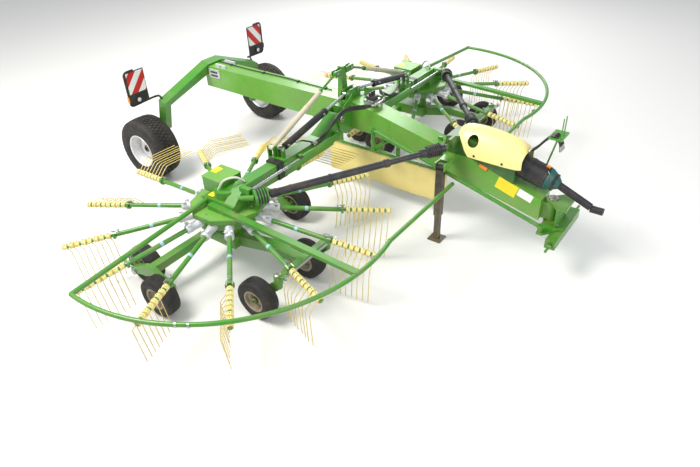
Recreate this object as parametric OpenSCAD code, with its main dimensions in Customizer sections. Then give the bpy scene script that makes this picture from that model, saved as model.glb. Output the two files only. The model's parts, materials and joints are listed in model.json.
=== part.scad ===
// Twin rotor hay rake: towed centre-delivery rake on its own running gear.
// Frame: X forwards to the tractor, Y to the left, Z up, floor at Z = 0.
// The machine is drawn with X = 0 at the rotor axes and set centrally at the end.

/* [Rotors] */
// Distance between the two rotor axes, arms drawn in
rotor_spacing = 4000; // [3900:10:4300]
// Number of tine arms on each rotor
arm_count = 13; // [9:1:13]
// Radius to the end of a tine arm
arm_reach = 1720; // [1640:10:1730]
// Height of a tine arm's axis at the hub
arm_root_h = 700; // [690:1:705]
// Height of a tine arm's axis at its end
arm_end_h = 580; // [560:1:620]
// Outer diameter of the inner arm tube
arm_tube_d = 50; // [40:1:60]
// Outer diameter of the tine carrier at the arm's end
carrier_d = 40; // [30:1:48]
// Radius of the rotor hub
hub_r = 350; // [300:5:380]
// Height of the rotor hub ring
hub_h = 80; // [60:1:84]
// Diameter of the cast socket of an arm
socket_d = 84; // [70:1:88]
// Length of a cast socket beyond the hub
socket_length = 170; // [120:5:220]

/* [Tines] */
// Tine fingers on one arm
tines_per_arm = 8; // [6:1:9]
// Radius of the innermost finger
tine_inner_r = 1260; // [1250:5:1300]
// Thickness of the tine wire
tine_wire = 9; // [7:0.5:10]
// Diameter of a tine's coil block
tine_block_d = 68; // [60:1:76]
// Length of a tine's coil block along the arm
tine_block_l = 38; // [28:1:42]
// Length of the short upper limb of a finger
tine_shank = 150; // [100:5:170]
// Length of the long lower limb of a finger
tine_length = 430; // [350:5:440]
// Angle between the two limbs
tine_kink = 42; // [20:1:60]
// Forward lean of a lowered tine's long limb
tine_lean = 4; // [0:1:10]

/* [Guard hoops] */
// Radius of the guard hoop about the rotor axis
hoop_r = 1820; // [1815:1:1880]
// Diameter of the hoop's tube
hoop_d = 45; // [35:1:50]
// Height of the hoop's tube
hoop_h = 750; // [735:1:760]
// Distance from the centre line to the hoop's inner end
hoop_inner_y = 350; // [345:5:420]

/* [Rotor running gear] */
// Outer diameter of a rotor wheel
small_wheel_d = 440; // [400:5:445]
// Width of a rotor wheel
small_wheel_w = 170; // [140:2:174]
// Rim diameter of a rotor wheel
small_rim_d = 220; // [190:5:240]
// Stub axle diameter of a rotor wheel
small_axle_d = 30; // [24:1:36]
// Wheel base of a tandem pair
tandem_base = 550; // [530:5:560]
// Distance from the rotor axis back to the tandem pivot
tandem_pivot_x = 305; // [295:5:320]
// Distance from the rotor axis out to the tandem beam
tandem_y = 905; // [890:5:910]
// Thickness of a tandem beam
tandem_beam_w = 60; // [50:2:70]
// Distance from the rotor axis forwards to the castor pivots
castor_x = 990; // [980:5:1000]
// Distance from the rotor axis sideways to the castor pivots
castor_y = 385; // [380:5:390]
// Trail of a castor wheel behind its pivot
castor_trail = 175; // [150:5:180]
// Sideways offset of a castor wheel from its pivot
castor_offset = 135; // [133:1:140]

/* [Swing arms] */
// Distance from the centre line to the lift hinge
hinge_y = 330; // [320:5:340]
// Height of the lift hinge
hinge_h = 1150; // [1140:5:1160]
// Distance of a swing arm's centre plane ahead of the rotor axes
arm_x = 170; // [165:5:180]
// Width of the outer box of a swing arm
arm_w = 160; // [140:2:164]
// Height of the outer box of a swing arm
arm_h = 180; // [150:2:190]
// Height of the outer box's top face
arm_top = 1050; // [1040:5:1055]
// Wall of the outer box
arm_wall = 10; // [6:1:14]
// Distance from the centre line to the end of the outer box
arm_end_y = 1370; // [1360:5:1380]
// Telescopic travel of a rotor head
slide_travel = 600; // [400:10:600]
// Bore of the lift cylinder
lift_cylinder_d = 78; // [60:1:80]
// Rod diameter of the lift cylinder
lift_rod_d = 36; // [25:1:45]

/* [Main frame] */
// Width of the main beam
beam_w = 260; // [240:5:260]
// Height of the rear beam's top face
beam_top = 1280; // [1270:5:1290]
// Depth of the rear beam
beam_depth = 300; // [280:5:310]
// Distance from the rotor axes back to the rear wheels
rear_axle_x = 2400; // [2380:10:2600]
// Distance from the rotor axes forwards to the headstock hinge
headstock_x = 2790; // [2780:5:2850]
// Outer diameter of a rear wheel
rear_wheel_d = 850; // [800:5:870]
// Width of a rear wheel
rear_wheel_w = 380; // [340:5:384]
// Rim diameter of a rear wheel
rear_rim_d = 432; // [400:4:460]
// Track of the rear wheels
rear_track = 2340; // [2330:5:2400]
// Distance from the centre line to a kingpin
kingpin_y = 860; // [850:5:865]

/* [Hitch] */
// Distance between the lower link balls
link_spacing = 825; // [683:1:870]
// Diameter of a lower link pin
link_pin_d = 28; // [22:0.5:30]
// Diameter of a lower link ball
link_ball_d = 56; // [50:1:60]
// Height of the lower link pins
link_h = 400; // [390:5:410]
// Bore of the drive shaft's front yoke
yoke_bore_d = 35; // [30:0.5:45]
// Distance from the rotor axes to the front of the drive shaft
shaft_front_x = 3300; // [3250:10:3400]

/* [Curtain] */
// Length of the swath curtain
curtain_length = 1710; // [1400:10:1710]
// Height of the curtain's lower edge
curtain_low = 220; // [150:10:300]
// Height of the curtain's upper edge
curtain_high = 630; // [600:5:640]
// Thickness of the curtain
curtain_t = 8; // [4:1:10]

/* [Hidden] */
// Running clearance between a pin, shaft or slide and its seat
fit = 0.3;
// Clearance between faces that turn past each other
side_gap = 5;
round_fn = 48;
fine_fn = 32;

// Angle of the first arm, and the sector in which the cam lifts the tines
first_arm = 17.8;
cam_from = 170;
cam_to = 275;
arm_pitch = 360 / arm_count;

// Angle by which the cam has swung each arm's tines up from hanging down
cam_lift = [for (i = [0 : arm_count - 1])
    let (a = (first_arm + i * arm_pitch) % 360)
    a > cam_from && a < cam_to ? 90 : (a > cam_from - arm_pitch && a <= cam_from ? 45 : 0)];

rotor_y = rotor_spacing / 2;
arm_root_r = hub_r + 40;
arm_slope = atan((arm_root_h - arm_end_h) / (arm_reach - arm_root_r));
tine_step = (arm_reach - 30 - tine_inner_r) / (tines_per_arm - 1);
column_r = 95;
hub_top = arm_root_h + 35;
hub_bottom = hub_top - hub_h;
cover_bottom = arm_root_h + 80 * sin(arm_slope) + socket_d / 2 + side_gap;
cover_t = 44;
gear_top = cover_bottom + cover_t;
column_bottom = 430;

axle_h = small_wheel_d / 2;
tandem_rear_x = -tandem_pivot_x - tandem_base / 2;
tandem_front_x = -tandem_pivot_x + tandem_base / 2;
tandem_wheel_y = tandem_beam_w / 2 + 20 + small_wheel_w / 2;
gear_beam_h = 330;
castor_h = 470;
castor_pin_d = 40;
castor_beam_low = small_wheel_d - 6;
castor_lever = 110;

arm_mid_h = arm_top - arm_h / 2;
inner_w = arm_w - 2 * arm_wall - 2 * fit;
inner_h = arm_h - 2 * arm_wall - 2 * fit;
hinge_pin_d = 60;
lug_t = 22;
lug_x = arm_w / 2 + side_gap + lug_t / 2;

lift_base = [arm_x, 1300, 1140];
lift_eye = [arm_x, 100, 1360];
strut_base = [70, 1330, 1150];
strut_eye = [70, 140, 1600];
strut_length = norm(strut_eye - strut_base);
strut_inner_d = 54;
strut_tube_d = 62;
strut_rod_d = 28;
eye_pin_d = 30;

joint_in = [1660, hinge_y, hinge_h];
joint_out = [450, rotor_y - 50, 980];
guard_tube_d = 78;
inner_guard_d = 64;
ball_r = 34;

frame_x0 = -2240;
neck_x = 400;
nose_w = 120;
nose_low = 470;
nose_high = 690;
relay_x = 700;
relay_r = 300;
relay_pin_d = 24;
rod_front_h = 530;
rod_rear_h = 1100;
steer_rod_d = 45;

jack_x = 1650;
jack_y = -400;
jack_h = 950;

knuckle_h = rear_wheel_d / 2;
leg_low = 600;
axle_rake = 14;
rear_stub_d = 50;

x_rear = -rear_axle_x - rear_wheel_d / 2;
x_shift = -(x_rear + shaft_front_x) / 2;

leaf_green = [0.20, 0.55, 0.14];
pale_green = [0.45, 0.70, 0.35];
canvas = [0.87, 0.82, 0.60];
cream = [0.90, 0.85, 0.62];
dark = [0.10, 0.10, 0.11];
steel = [0.72, 0.73, 0.75];

// Puts the drawing centrally on its origin
module placed() {
    translate([x_shift, 0, 0]) children();
}

// Draws the left half's piece, or its mirror image on the right
module on_side(left) {
    placed() mirror([0, left ? 0 : 1, 0]) children();
}

// Extrudes a profile drawn in X and Z across Y, centred on y
module across(width, y = 0) {
    translate([0, y + width / 2, 0]) rotate([90, 0, 0]) linear_extrude(width) children();
}

// Extrudes a profile drawn in Y and Z along X, centred on x
module along(width, x = 0) {
    translate([x - width / 2, 0, 0]) rotate([90, 0, 90]) linear_extrude(width) children();
}

// Cylinder along X, centred
module rod_x(d, length) {
    rotate([0, 90, 0]) cylinder(d = d, h = length, center = true, $fn = round_fn);
}

// Cylinder along Y, centred
module rod_y(d, length) {
    rotate([90, 0, 0]) cylinder(d = d, h = length, center = true, $fn = round_fn);
}

// Places its children at a, with X pointing to b
module aim(a, b) {
    v = b - a;
    translate(a) rotate([0, -atan2(v[2], norm([v[0], v[1]])), atan2(v[1], v[0])]) children();
}

// Bar between two points
module bar(a, b, d) {
    aim(a, b) rotate([0, 90, 0]) cylinder(d = d, h = norm(b - a), $fn = fine_fn);
}

// Box given by its low and high corners
module block(low, high) {
    translate(low) cube(high - low);
}

// Main frame

beam_profile = [
    [frame_x0, beam_top - beam_depth + 10], [frame_x0, beam_top], [neck_x, beam_top],
    [1550, 1010], [1850, 1000], [headstock_x - 90, nose_high + 40],
    [headstock_x - 90, nose_low + 12], [1760, 700], [1500, 736], [610, 945], [200, 960]
];

module main_beam() {
    color(pale_green) placed() {
        difference() {
            union() {
                across(beam_w) polygon(beam_profile);
                nose();
            }
            translate([headstock_x, 0, nose_low - 1])
                cylinder(d = hinge_pin_d + 2 * fit, h = nose_high - nose_low + 2, $fn = round_fn);
        }
        relay_pin();
        jack_bracket();
    }
}

// Hinge tube at the front of the beam
module nose() {
    translate([headstock_x, 0, nose_low])
        cylinder(d = nose_w, h = nose_high - nose_low, $fn = round_fn);
    block([headstock_x - 100, -nose_w / 2, nose_low + 12], [headstock_x, nose_w / 2, nose_high - 12]);
}

relay_pin_low = 830;
module relay_pin() {
    translate([relay_x, 0, relay_pin_low]) cylinder(d = 40, h = 150, $fn = fine_fn);
    translate([relay_x, 0, relay_pin_low - 12]) cylinder(d = 62, h = 12 , $fn = fine_fn);
}

module jack_bracket() {
    block([jack_x - 62, jack_y + 70, jack_h + 10], [jack_x + 62, -beam_w / 2 + 1, jack_h + 45]);
    for (s = [-1, 1])
        block([jack_x + s * 56 - 6, jack_y - 35, jack_h - 35],
            [jack_x + s * 56 + 6, jack_y + 75, jack_h + 45]);
    translate([jack_x, jack_y, jack_h]) rod_x(30, 112);
}

// Cross box between the lift hinges, the lugs, the rod ears and the post
console_low = 930;
module centre_console() {
    color(leaf_green) placed() {
        difference() {
            union() {
                block([arm_x - lug_x - lug_t / 2, -hinge_y + 75, console_low],
                    [arm_x + lug_x + lug_t / 2, hinge_y - 75, beam_top - 20]);
                for (s = [-1, 1], e = [-1, 1]) along(lug_t, arm_x + e * lug_x) lug_profile(s);
            }
            across(beam_w) polygon(beam_profile);
        }
        for (s = [-1, 1]) translate([arm_x, s * hinge_y, hinge_h])
            rod_x(hinge_pin_d, 2 * lug_x + lug_t + 30);
        rod_ears();
        post();
    }
}

module lug_profile(s) {
    difference() {
        polygon([[s * (hinge_y - 80), console_low], [s * (hinge_y - 80), beam_top - 20],
            [s * (hinge_y + 10), hinge_h + 62], [s * (hinge_y + 60), hinge_h + 15],
            [s * (hinge_y + 60), hinge_h - 40], [s * (hinge_y + 10), console_low + 70]]);
    }
}

module rod_ears() {
    for (e = [-1, 1])
        along(14, arm_x + e * 42)
            polygon([[-150, beam_top], [-130, lift_eye[2] + 30], [-60, lift_eye[2] + 45],
                [60, lift_eye[2] + 45], [130, lift_eye[2] + 30], [150, beam_top]]);
}

post_x = 70;
module post() {
    along(70, post_x - 10)
        polygon([[-60, beam_top], [-38, strut_eye[2] - 60], [-38, strut_eye[2] + 55],
            [38, strut_eye[2] + 55], [38, strut_eye[2] - 60], [60, beam_top]]);
    for (s = [-1, 1], e = [-1, 1])
        block([post_x + e * 28 - 5, min(s * 30, s * 180), strut_eye[2] - 35],
            [post_x + e * 28 + 5, max(s * 30, s * 180), strut_eye[2] + 35]);
}

// Portal axle of the rear wheels, raked so that its legs stand behind the beam's end
apex = beam_top + 50;
module rear_axle() {
    color(pale_green) placed() difference() {
        union() {
            translate([-rear_axle_x, 0, leg_low]) rotate([0, axle_rake, 0]) translate([0, 0, -leg_low])
                along(130) polygon(axle_profile());
            for (s = [-1, 1]) translate([-rear_axle_x, s * kingpin_y, leg_low - 40])
                cylinder(d = 100, h = 210, $fn = round_fn);
        }
        across(beam_w) polygon(beam_profile);
        for (s = [-1, 1]) translate([-rear_axle_x, s * kingpin_y, leg_low - 60])
            cylinder(d = 50 + 2 * fit, h = 180, $fn = round_fn);
    }
}

function axle_profile() =
    let (half = [[130, apex + 15], [kingpin_y + 50, 1020], [kingpin_y + 50, leg_low],
        [kingpin_y - 50, leg_low], [kingpin_y - 50, 960], [150, 1190]])
    concat(half, [for (i = [len(half) - 1 : -1 : 0]) [-half[i][0], half[i][1]]]);

// Blank warning boards on bent tubes from the axle's elbows
board_w = 440;
board_h = 640;
board_low = 980;
board_y = 1200;
module warning_boards() {
    color(dark) for (left = [true, false]) on_side(left) {
        translate([-rear_axle_x - 70, board_y, board_low + board_h / 2])
            cube([36, board_w, board_h], center = true);
        translate([-rear_axle_x - 71, board_y - 100, board_low - 36]) cylinder(d = 34, h = 60, $fn = fine_fn);
        difference() {
            bar([-rear_axle_x - 71, board_y - 100, board_low - 20], [-rear_axle_x + 70, kingpin_y + 20, board_low - 20], 30);
            block([-rear_axle_x - 100, 0, board_low - 60], [-rear_axle_x + 200, kingpin_y + 50, board_low + 60]);
        }
    }
}

module hood() {
    color(canvas) placed() difference() {
        intersection() {
            across(hood_w) polygon(hood_side(0));
            linear_extrude(1500) polygon(hood_plan(0));
        }
        for (back = [0, 2 * hood_t]) translate([-back, 0, 0]) intersection() {
            across(hood_w - 2 * hood_t) polygon(hood_side(hood_t));
            linear_extrude(1500) polygon(hood_plan(hood_t));
        }
        translate([1800, 0, 1150]) rod_y(150, 500);
        bar(drum_a - [60, 0, -16], drum_b, 262);
    }
}

hood_t = 8;
hood_w = 400;
function hood_side(t) = [[1730 + t, 1000], [1740 + t, 1240 - t], [1900, 1290 - t], [2330, 1240 - t],
    [2440 - t, 1150], [2440 - t, 1000], [2440 - t, 900 - t], [2200, 950 - t]];
function hood_plan(t) = [[1730 + t, -180 + t], [1730 + t, 180 - t], [1800, 200 - t], [2450 - t, 200 - t],
    [2450 - t, -200 + t], [1800, -200 + t]];

module gearbox() {
    color(leaf_green) placed() {
        difference() {
            across(280) polygon([[1560, 1008], [1560, 1190], [1760, 1230], [2000, 1180], [2380, 1080],
                [2380, 800], [1560, 800]]);
            across(beam_w + 100) polygon(beam_profile);
        }
        for (s = [-1, 1]) translate([joint_in[0], s * 190, hinge_h]) rod_y(120, 120);
        for (s = [-1, 1], x = [1950, 2250]) translate([x, s * (hood_w / 2 - hood_t - fit - 35), 1040])
            cube([60, 70, 60], center = true);
        for (s = [-1, 1]) {
            translate([joint_in[0], s * (hinge_y / 2 + 120), hinge_h]) rod_y(40, hinge_y - 240);
            translate([joint_in[0], s * hinge_y, hinge_h]) sphere(r = ball_r, $fn = round_fn);
        }
    }
}

module curtain_rail() {
    color(leaf_green) placed() {
        block([-180, -20, curtain_high + 10], [-180 + curtain_length, 20, curtain_high + 50]);
        difference() {
            for (x = [10, 860, 1420]) block([x - 25, -8, curtain_high + 45], [x + 25, 8, beam_top - 100]);
            across(beam_w) polygon(beam_profile);
            block([-500, -100, beam_top - beam_depth + 100], [2000, 100, beam_top]);
        }
    }
}

module curtain() {
    color(canvas) placed() across(curtain_t) polygon([[-180, curtain_low], [-180, curtain_high + 9.7],
        [-180 + curtain_length, curtain_high + 9.7], [-180 + curtain_length, curtain_low + 200],
        [-330 + curtain_length, curtain_low]]);
}

module hose_holder() {
    color(leaf_green) placed() {
        block([2500, beam_w / 2, 640], [2570, beam_w / 2 + 12, 740]);
        bar([2535, beam_w / 2 + 16, 660], [2700, beam_w / 2 + 16, 1410], 20);
        block([2640, -60, 1395], [2780, beam_w / 2 + 26, 1415]);
        for (y = [-40, 40]) bar([2760, y, 1405], [2760, y, 1630], 12);
    }
}

drum_a = [2385, 0, 1010];
drum_b = [2680, 0, 930];
module input_shaft() {
    color(dark) placed() {
        difference() {
            bar(drum_a - [60, 0, -16], drum_b, 250);
            block([2200, -200, 700], [2380, 200, 1300]);
        }
        bar(drum_b, [2780, 0, 903], 190);
        bar([2780, 0, 903], [shaft_front_x - 130, 0, 740], 80);
        difference() {
            translate([shaft_front_x - 65, 0, 725]) rod_x(76, 130);
            translate([shaft_front_x - 40, 0, 725]) rod_x(yoke_bore_d, 90);
        }
    }
}

// Headstock and steering

module headstock() {
    color(leaf_green) placed() {
        for (z = [[nose_low - fit - 26, nose_low - fit], [nose_high + fit, nose_high + fit + 26]])
            translate([0, 0, z[0]]) linear_extrude(z[1] - z[0])
                headstock_plate();
        translate([headstock_x, 0, nose_low - 20]) cylinder(d = hinge_pin_d, h = nose_high - nose_low + 40, $fn = round_fn);
        block([headstock_x + 90, -160, link_h - 50], [headstock_x + 115, 160, nose_high + 26]);
        block([headstock_x + 90, -link_spacing / 2 + 40, link_h - 55], [headstock_x + 200, link_spacing / 2 - 40, link_h + 50]);
        steer_ear();
        for (s = [-1, 1]) {
            translate([headstock_x + 150, s * (link_spacing / 2 + 10), link_h]) rod_y(link_pin_d, 180);
            translate([headstock_x + 150, s * link_spacing / 2, link_h]) link_ball();
        }
    }
}

module headstock_plate() {
    translate([headstock_x, 0]) circle(r = 75, $fn = round_fn);
    translate([headstock_x, 0]) polygon([[0, -75], [0, 75], [80, 160], [190, 160], [190, -160], [80, -160]]);
}

module link_ball() {
    intersection() {
        sphere(d = link_ball_d, $fn = round_fn);
        rod_y(link_ball_d + 10, 45);
    }
}

module steer_ear() {
    translate([0, 0, nose_low - fit - 26]) linear_extrude(26)
        polygon([[headstock_x + 50, -60], [headstock_x - 50, -60], [headstock_x - 30, -relay_r - 30],
            [headstock_x + 30, -relay_r - 30], [headstock_x + 150, -160]]);
    translate([headstock_x, -relay_r, nose_low - 20])
        cylinder(d = relay_pin_d, h = rod_front_h + 30 - nose_low + 20, $fn = fine_fn);
    translate([headstock_x, -relay_r, nose_low - 20])
        cylinder(d = 44, h = rod_front_h - 20 - fit - nose_low + 20, $fn = fine_fn);
}

module steering_rod() {
    color(leaf_green) placed() difference() {
        union() {
            bar([headstock_x - 24, -relay_r, rod_front_h + 4], [relay_x + 24, -relay_r, rod_rear_h - 4],
                steer_rod_d);
            for (p = [[headstock_x, rod_front_h], [relay_x, rod_rear_h]])
                translate([p[0], -relay_r, p[1] - 20]) cylinder(d = 70, h = 40, $fn = fine_fn);
        }
        for (p = [[headstock_x, rod_front_h], [relay_x, rod_rear_h]])
            translate([p[0], -relay_r, p[1] - 60]) cylinder(d = relay_pin_d + 2 * fit, h = 120, $fn = fine_fn);
    }
}

lever_h = relay_pin_low + fit;
module relay_lever() {
    color(leaf_green) placed() {
        difference() {
            union() {
                translate([relay_x, 0, lever_h]) cylinder(d = 90, h = 30, $fn = round_fn);
                block([relay_x - 30, -relay_r + 15, lever_h], [relay_x + 30, 0, lever_h + 20]);
            }
            translate([relay_x, 0, lever_h - 1]) cylinder(d = 40 + 2 * fit, h = 60, $fn = fine_fn);
        }
        translate([relay_x, -relay_r, lever_h])
            cylinder(d = 44, h = rod_rear_h - 40 - lever_h, $fn = fine_fn);
        translate([relay_x, -relay_r, lever_h])
            cylinder(d = 32, h = rod_rear_h - 20 - fit - lever_h, $fn = fine_fn);
        translate([relay_x, -relay_r, lever_h]) cylinder(d = relay_pin_d, h = rod_rear_h + 30 - lever_h, $fn = fine_fn);
    }
}

module parking_jack() {
    color(dark) placed() {
        difference() {
            translate([jack_x, jack_y, jack_h]) rod_x(64, 98);
            translate([jack_x, jack_y, jack_h]) rod_x(30 + 2 * fit, 120);
        }
        block([jack_x - 40, jack_y - 40, 330], [jack_x + 40, jack_y + 40, jack_h - 24]);
        block([jack_x - 30, jack_y - 30, 10], [jack_x + 30, jack_y + 30, 340]);
        block([jack_x - 80, jack_y - 80, 0], [jack_x + 80, jack_y + 80, 14]);
    }
}

// Rear wheels

module knuckle() {
    translate([-rear_axle_x, kingpin_y, knuckle_h]) cylinder(d = 50, h = leg_low + 100 - knuckle_h, $fn = round_fn);
    translate([-rear_axle_x, kingpin_y, knuckle_h - 45]) cylinder(d = 100, h = leg_low - 40 - fit - knuckle_h + 45, $fn = round_fn);
    translate([-rear_axle_x, (kingpin_y + rear_track / 2) / 2 + 20, knuckle_h])
        rod_y(rear_stub_d, rear_track / 2 - kingpin_y + 40);
}

// Tyre and rim turned about Y, with a dished disc and a hub bored for its axle
module wheel(d, w, rim_d, bore_d, hub_d) {
    r = d / 2;
    rr = rim_d / 2;
    rotate([90, 0, 0]) rotate_extrude($fn = 64)
        polygon([[bore_d / 2, -w * 0.12], [hub_d / 2, -w * 0.12], [hub_d / 2, 0], [rr - 14, w * 0.10],
            [rr - 14, -w * 0.44], [rr + 12, -w * 0.44], [rr + 12, -w * 0.40],
            [rr + (r - rr) * 0.35, -w / 2], [r - (r - rr) * 0.30, -w / 2], [r - (r - rr) * 0.06, -w * 0.42],
            [r, -w * 0.25], [r, w * 0.25], [r - (r - rr) * 0.06, w * 0.42],
            [r - (r - rr) * 0.30, w / 2], [rr + (r - rr) * 0.35, w / 2], [rr + 12, w * 0.40],
            [rr + 12, w * 0.44], [rr - 14, w * 0.44], [rr - 14, w * 0.14], [hub_d / 2, w * 0.04],
            [hub_d / 2, w * 0.30], [bore_d / 2, w * 0.30]]);
}

module rear_wheel() {
    translate([-rear_axle_x, rear_track / 2, knuckle_h])
        wheel(rear_wheel_d, rear_wheel_w, rear_rim_d, rear_stub_d + 2 * fit, 120);
}

// Swing arm with its hinge tube, outer box, cylinder clevises and slide cylinder

module swing_arm() {
    difference() {
        union() {
            translate([arm_x, hinge_y, hinge_h]) rod_x(104, arm_w);
            along(arm_w, arm_x) polygon([[hinge_y - 30, hinge_h + 40], [hinge_y + 40, hinge_h + 48], [700, arm_top],
                [700, arm_top - arm_h], [hinge_y + 150, arm_top - arm_h], [hinge_y - 20, hinge_h - 48]]);
            block([arm_x - arm_w / 2, 500, arm_top - arm_h], [arm_x + arm_w / 2, arm_end_y, arm_top]);
            block([arm_x - arm_w / 2 - 10, arm_end_y - 50, arm_top - arm_h - 10],
                [arm_x + arm_w / 2 + 10, arm_end_y, arm_top + 10]);
        }
        translate([arm_x, hinge_y, hinge_h]) rod_x(hinge_pin_d + 2 * fit, arm_w + 60);
        block([arm_x - inner_w / 2 - fit, 560, arm_mid_h - inner_h / 2 - fit],
            [arm_x + inner_w / 2 + fit, arm_end_y + 1, arm_mid_h + inner_h / 2 + fit]);
    }
    clevis(lift_base, 24, 60);
    clevis(strut_base, 34, 60);
    block([strut_base[0] - 46, strut_base[1] - 30, arm_top - 50],
        [arm_x - arm_w / 2 + arm_wall / 2, strut_base[1] + 30, arm_top]);
    slide_barrel();
}

// Two ears on the arm's top face with a pin between them
module clevis(p, half, length) {
    for (e = [-1, 1])
        block([p[0] + e * (half + 6) - 6, p[1] - length / 2, arm_top - arm_wall / 2],
            [p[0] + e * (half + 6) + 6, p[1] + length / 2, p[2] + 26]);
    translate(p) rod_x(eye_pin_d, 2 * half + 24);
}

slide_x = 318;
slide_h = 1010;
slide_rod_d = 30;
module slide_barrel() {
    difference() {
        translate([slide_x, 800, slide_h]) rod_y(66, 740);
        translate([slide_x, 860, slide_h]) rod_y(slide_rod_d + 2 * fit, 800);
    }
    for (y = [450, 1100])
        block([arm_x + arm_w / 2 - 1, y, slide_h - 22], [slide_x - 18, y + 40, slide_h + 22]);
}

// Cylinder or strut: a tube with an eye at its foot, aimed along the line of its two pins
module link_tube(a, b, d, neck, bore_d, bore_from, length, eye_w) {
    difference() {
        union() {
            translate(a) rod_x(eye_pin_d + 26, eye_w);
            aim(a, b) rotate([0, 90, 0]) cylinder(d = 44, h = neck + 2, $fn = round_fn);
            aim(a, b) rotate([0, 90, 0]) translate([0, 0, neck])
                cylinder(d = d, h = length - neck, $fn = round_fn);
        }
        translate(a) rod_x(eye_pin_d + 2 * fit, eye_w + 40);
        aim(a, b) rotate([0, 90, 0]) translate([0, 0, bore_from]) cylinder(d = bore_d + 2 * fit, h = length, $fn = fine_fn);
    }
}

// Rod with a cross pin in its eye
module link_rod(a, b, d, from, eye_w) {
    aim(a, b) rotate([0, 90, 0]) translate([0, 0, from]) cylinder(d = d, h = norm(b - a) - from, $fn = fine_fn);
    translate(b) rod_x(58, eye_w);
    translate(b) rod_x(26, eye_w + 12);
}

// Thin rod with the sleeve that slides in the strut's tube
module strut_slider() {
    link_rod(strut_base, strut_eye, strut_rod_d, 600, 30);
    aim(strut_base, strut_eye) rotate([0, 90, 0]) translate([0, 0, 590])
        cylinder(d = strut_inner_d, h = strut_length - 322 - 590, $fn = round_fn);
}

// Rotor head: inner box, gear housing, cover plate, column and input

head_x0 = -200;
head_y0 = -150;
head_y1 = 165;
module rotor_head() {
    block([arm_x - inner_w / 2, 620, arm_mid_h - inner_h / 2], [arm_x + inner_w / 2, rotor_y + head_y0 + 20, arm_mid_h + inner_h / 2]);
    translate([0, rotor_y, 0]) {
        block([head_x0, head_y0, gear_top - 5], [arm_x + inner_w / 2, head_y1, gear_top + 80]);
        along(inner_w, arm_x) polygon([[head_y0, arm_mid_h - inner_h / 2], [head_y0, arm_mid_h + inner_h / 2],
            [head_y0 + 100, arm_mid_h + inner_h / 2], [head_y1, gear_top + 60], [head_y1, gear_top + 30], [head_y0, gear_top + 30]]);
        translate([0, 0, gear_top - 5]) cylinder(r = 130, h = 170, $fn = round_fn);
        translate([0, 0, cover_bottom]) cylinder(r = 410, h = cover_t, $fn = 10);
        translate([0, 0, column_bottom]) cylinder(r = column_r, h = cover_bottom - column_bottom + 10, $fn = round_fn);
        translate([0, 0, hub_bottom - fit - 30]) cylinder(r = column_r + 40, h = 30, $fn = round_fn);
    }
    slide_rod();
    head_input();
}

module slide_rod() {
    translate([slide_x, (500 + rotor_y) / 2, slide_h]) rod_y(slide_rod_d, rotor_y - 500);
    block([arm_x + inner_w / 2 - 30, rotor_y - 50, slide_h - 30], [slide_x + 25, rotor_y + 10, slide_h + 30]);
}

input_dir = [cos(122.5), sin(122.5), -0.05];
module head_input() {
    difference() {
        bar(joint_out - input_dir * 70, joint_out + input_dir * 70, 160);
        bar(joint_out - input_dir * 80, joint_out + input_dir * 55, 144);
    }
    bar(joint_out + input_dir * 60, [130, rotor_y + 60, 900], 60);
}

// Running gear under the rotor: cross tube, tandem beams, castor beam

module running_gear() {
    translate([0, rotor_y, 0]) {
        block([-tandem_pivot_x - 60, -130, gear_beam_h - 40], [130, 130, column_bottom]);
        block([-tandem_pivot_x - 45, -tandem_y + 10, gear_beam_h - 45], [-tandem_pivot_x + 45, tandem_y - 10, gear_beam_h + 45]);
        for (s = [-1, 1]) tandem_beam(s);
        across(110) polygon([[100, gear_beam_h - 40], [100, column_bottom - 10], [560, castor_h + 20], [castor_x - 20, castor_h - 10],
            [castor_x - 20, castor_h - 80], [560, castor_h - 80]]);
        difference() {
            union() {
                block([castor_x - 35, -castor_y, castor_beam_low], [castor_x + 35, castor_y, castor_beam_low + 40]);
                for (s = [-1, 1]) translate([castor_x, s * castor_y, castor_h - 80])
                    cylinder(d = 90, h = 90, $fn = round_fn);
            }
            for (s = [-1, 1]) translate([castor_x, s * castor_y, castor_h - 100])
                cylinder(d = castor_pin_d + 2 * fit, h = 140, $fn = round_fn);
        }
    }
}

module tandem_beam(s) {
    difference() {
        translate([0, s * tandem_y, 0]) across(tandem_beam_w) polygon([[tandem_rear_x - 45, axle_h - 40], [tandem_rear_x - 45, axle_h + 40],
            [-tandem_pivot_x - 60, gear_beam_h + 50], [-tandem_pivot_x + 60, gear_beam_h + 50],
            [tandem_front_x + 45, axle_h + 40], [tandem_front_x + 45, axle_h - 40], [-tandem_pivot_x, gear_beam_h - 60]]);
    }
    translate([tandem_rear_x, s * (tandem_y - tandem_wheel_y / 2 - 15), axle_h]) rod_y(small_axle_d, tandem_wheel_y + 30);
    translate([tandem_front_x, s * (tandem_y + tandem_wheel_y / 2 + 15), axle_h]) rod_y(small_axle_d, tandem_wheel_y + 30);
}

module small_wheel(x, y) {
    translate([x, rotor_y + y, axle_h]) wheel(small_wheel_d, small_wheel_w, small_rim_d, small_axle_d + 2 * fit, 70);
}

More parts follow.
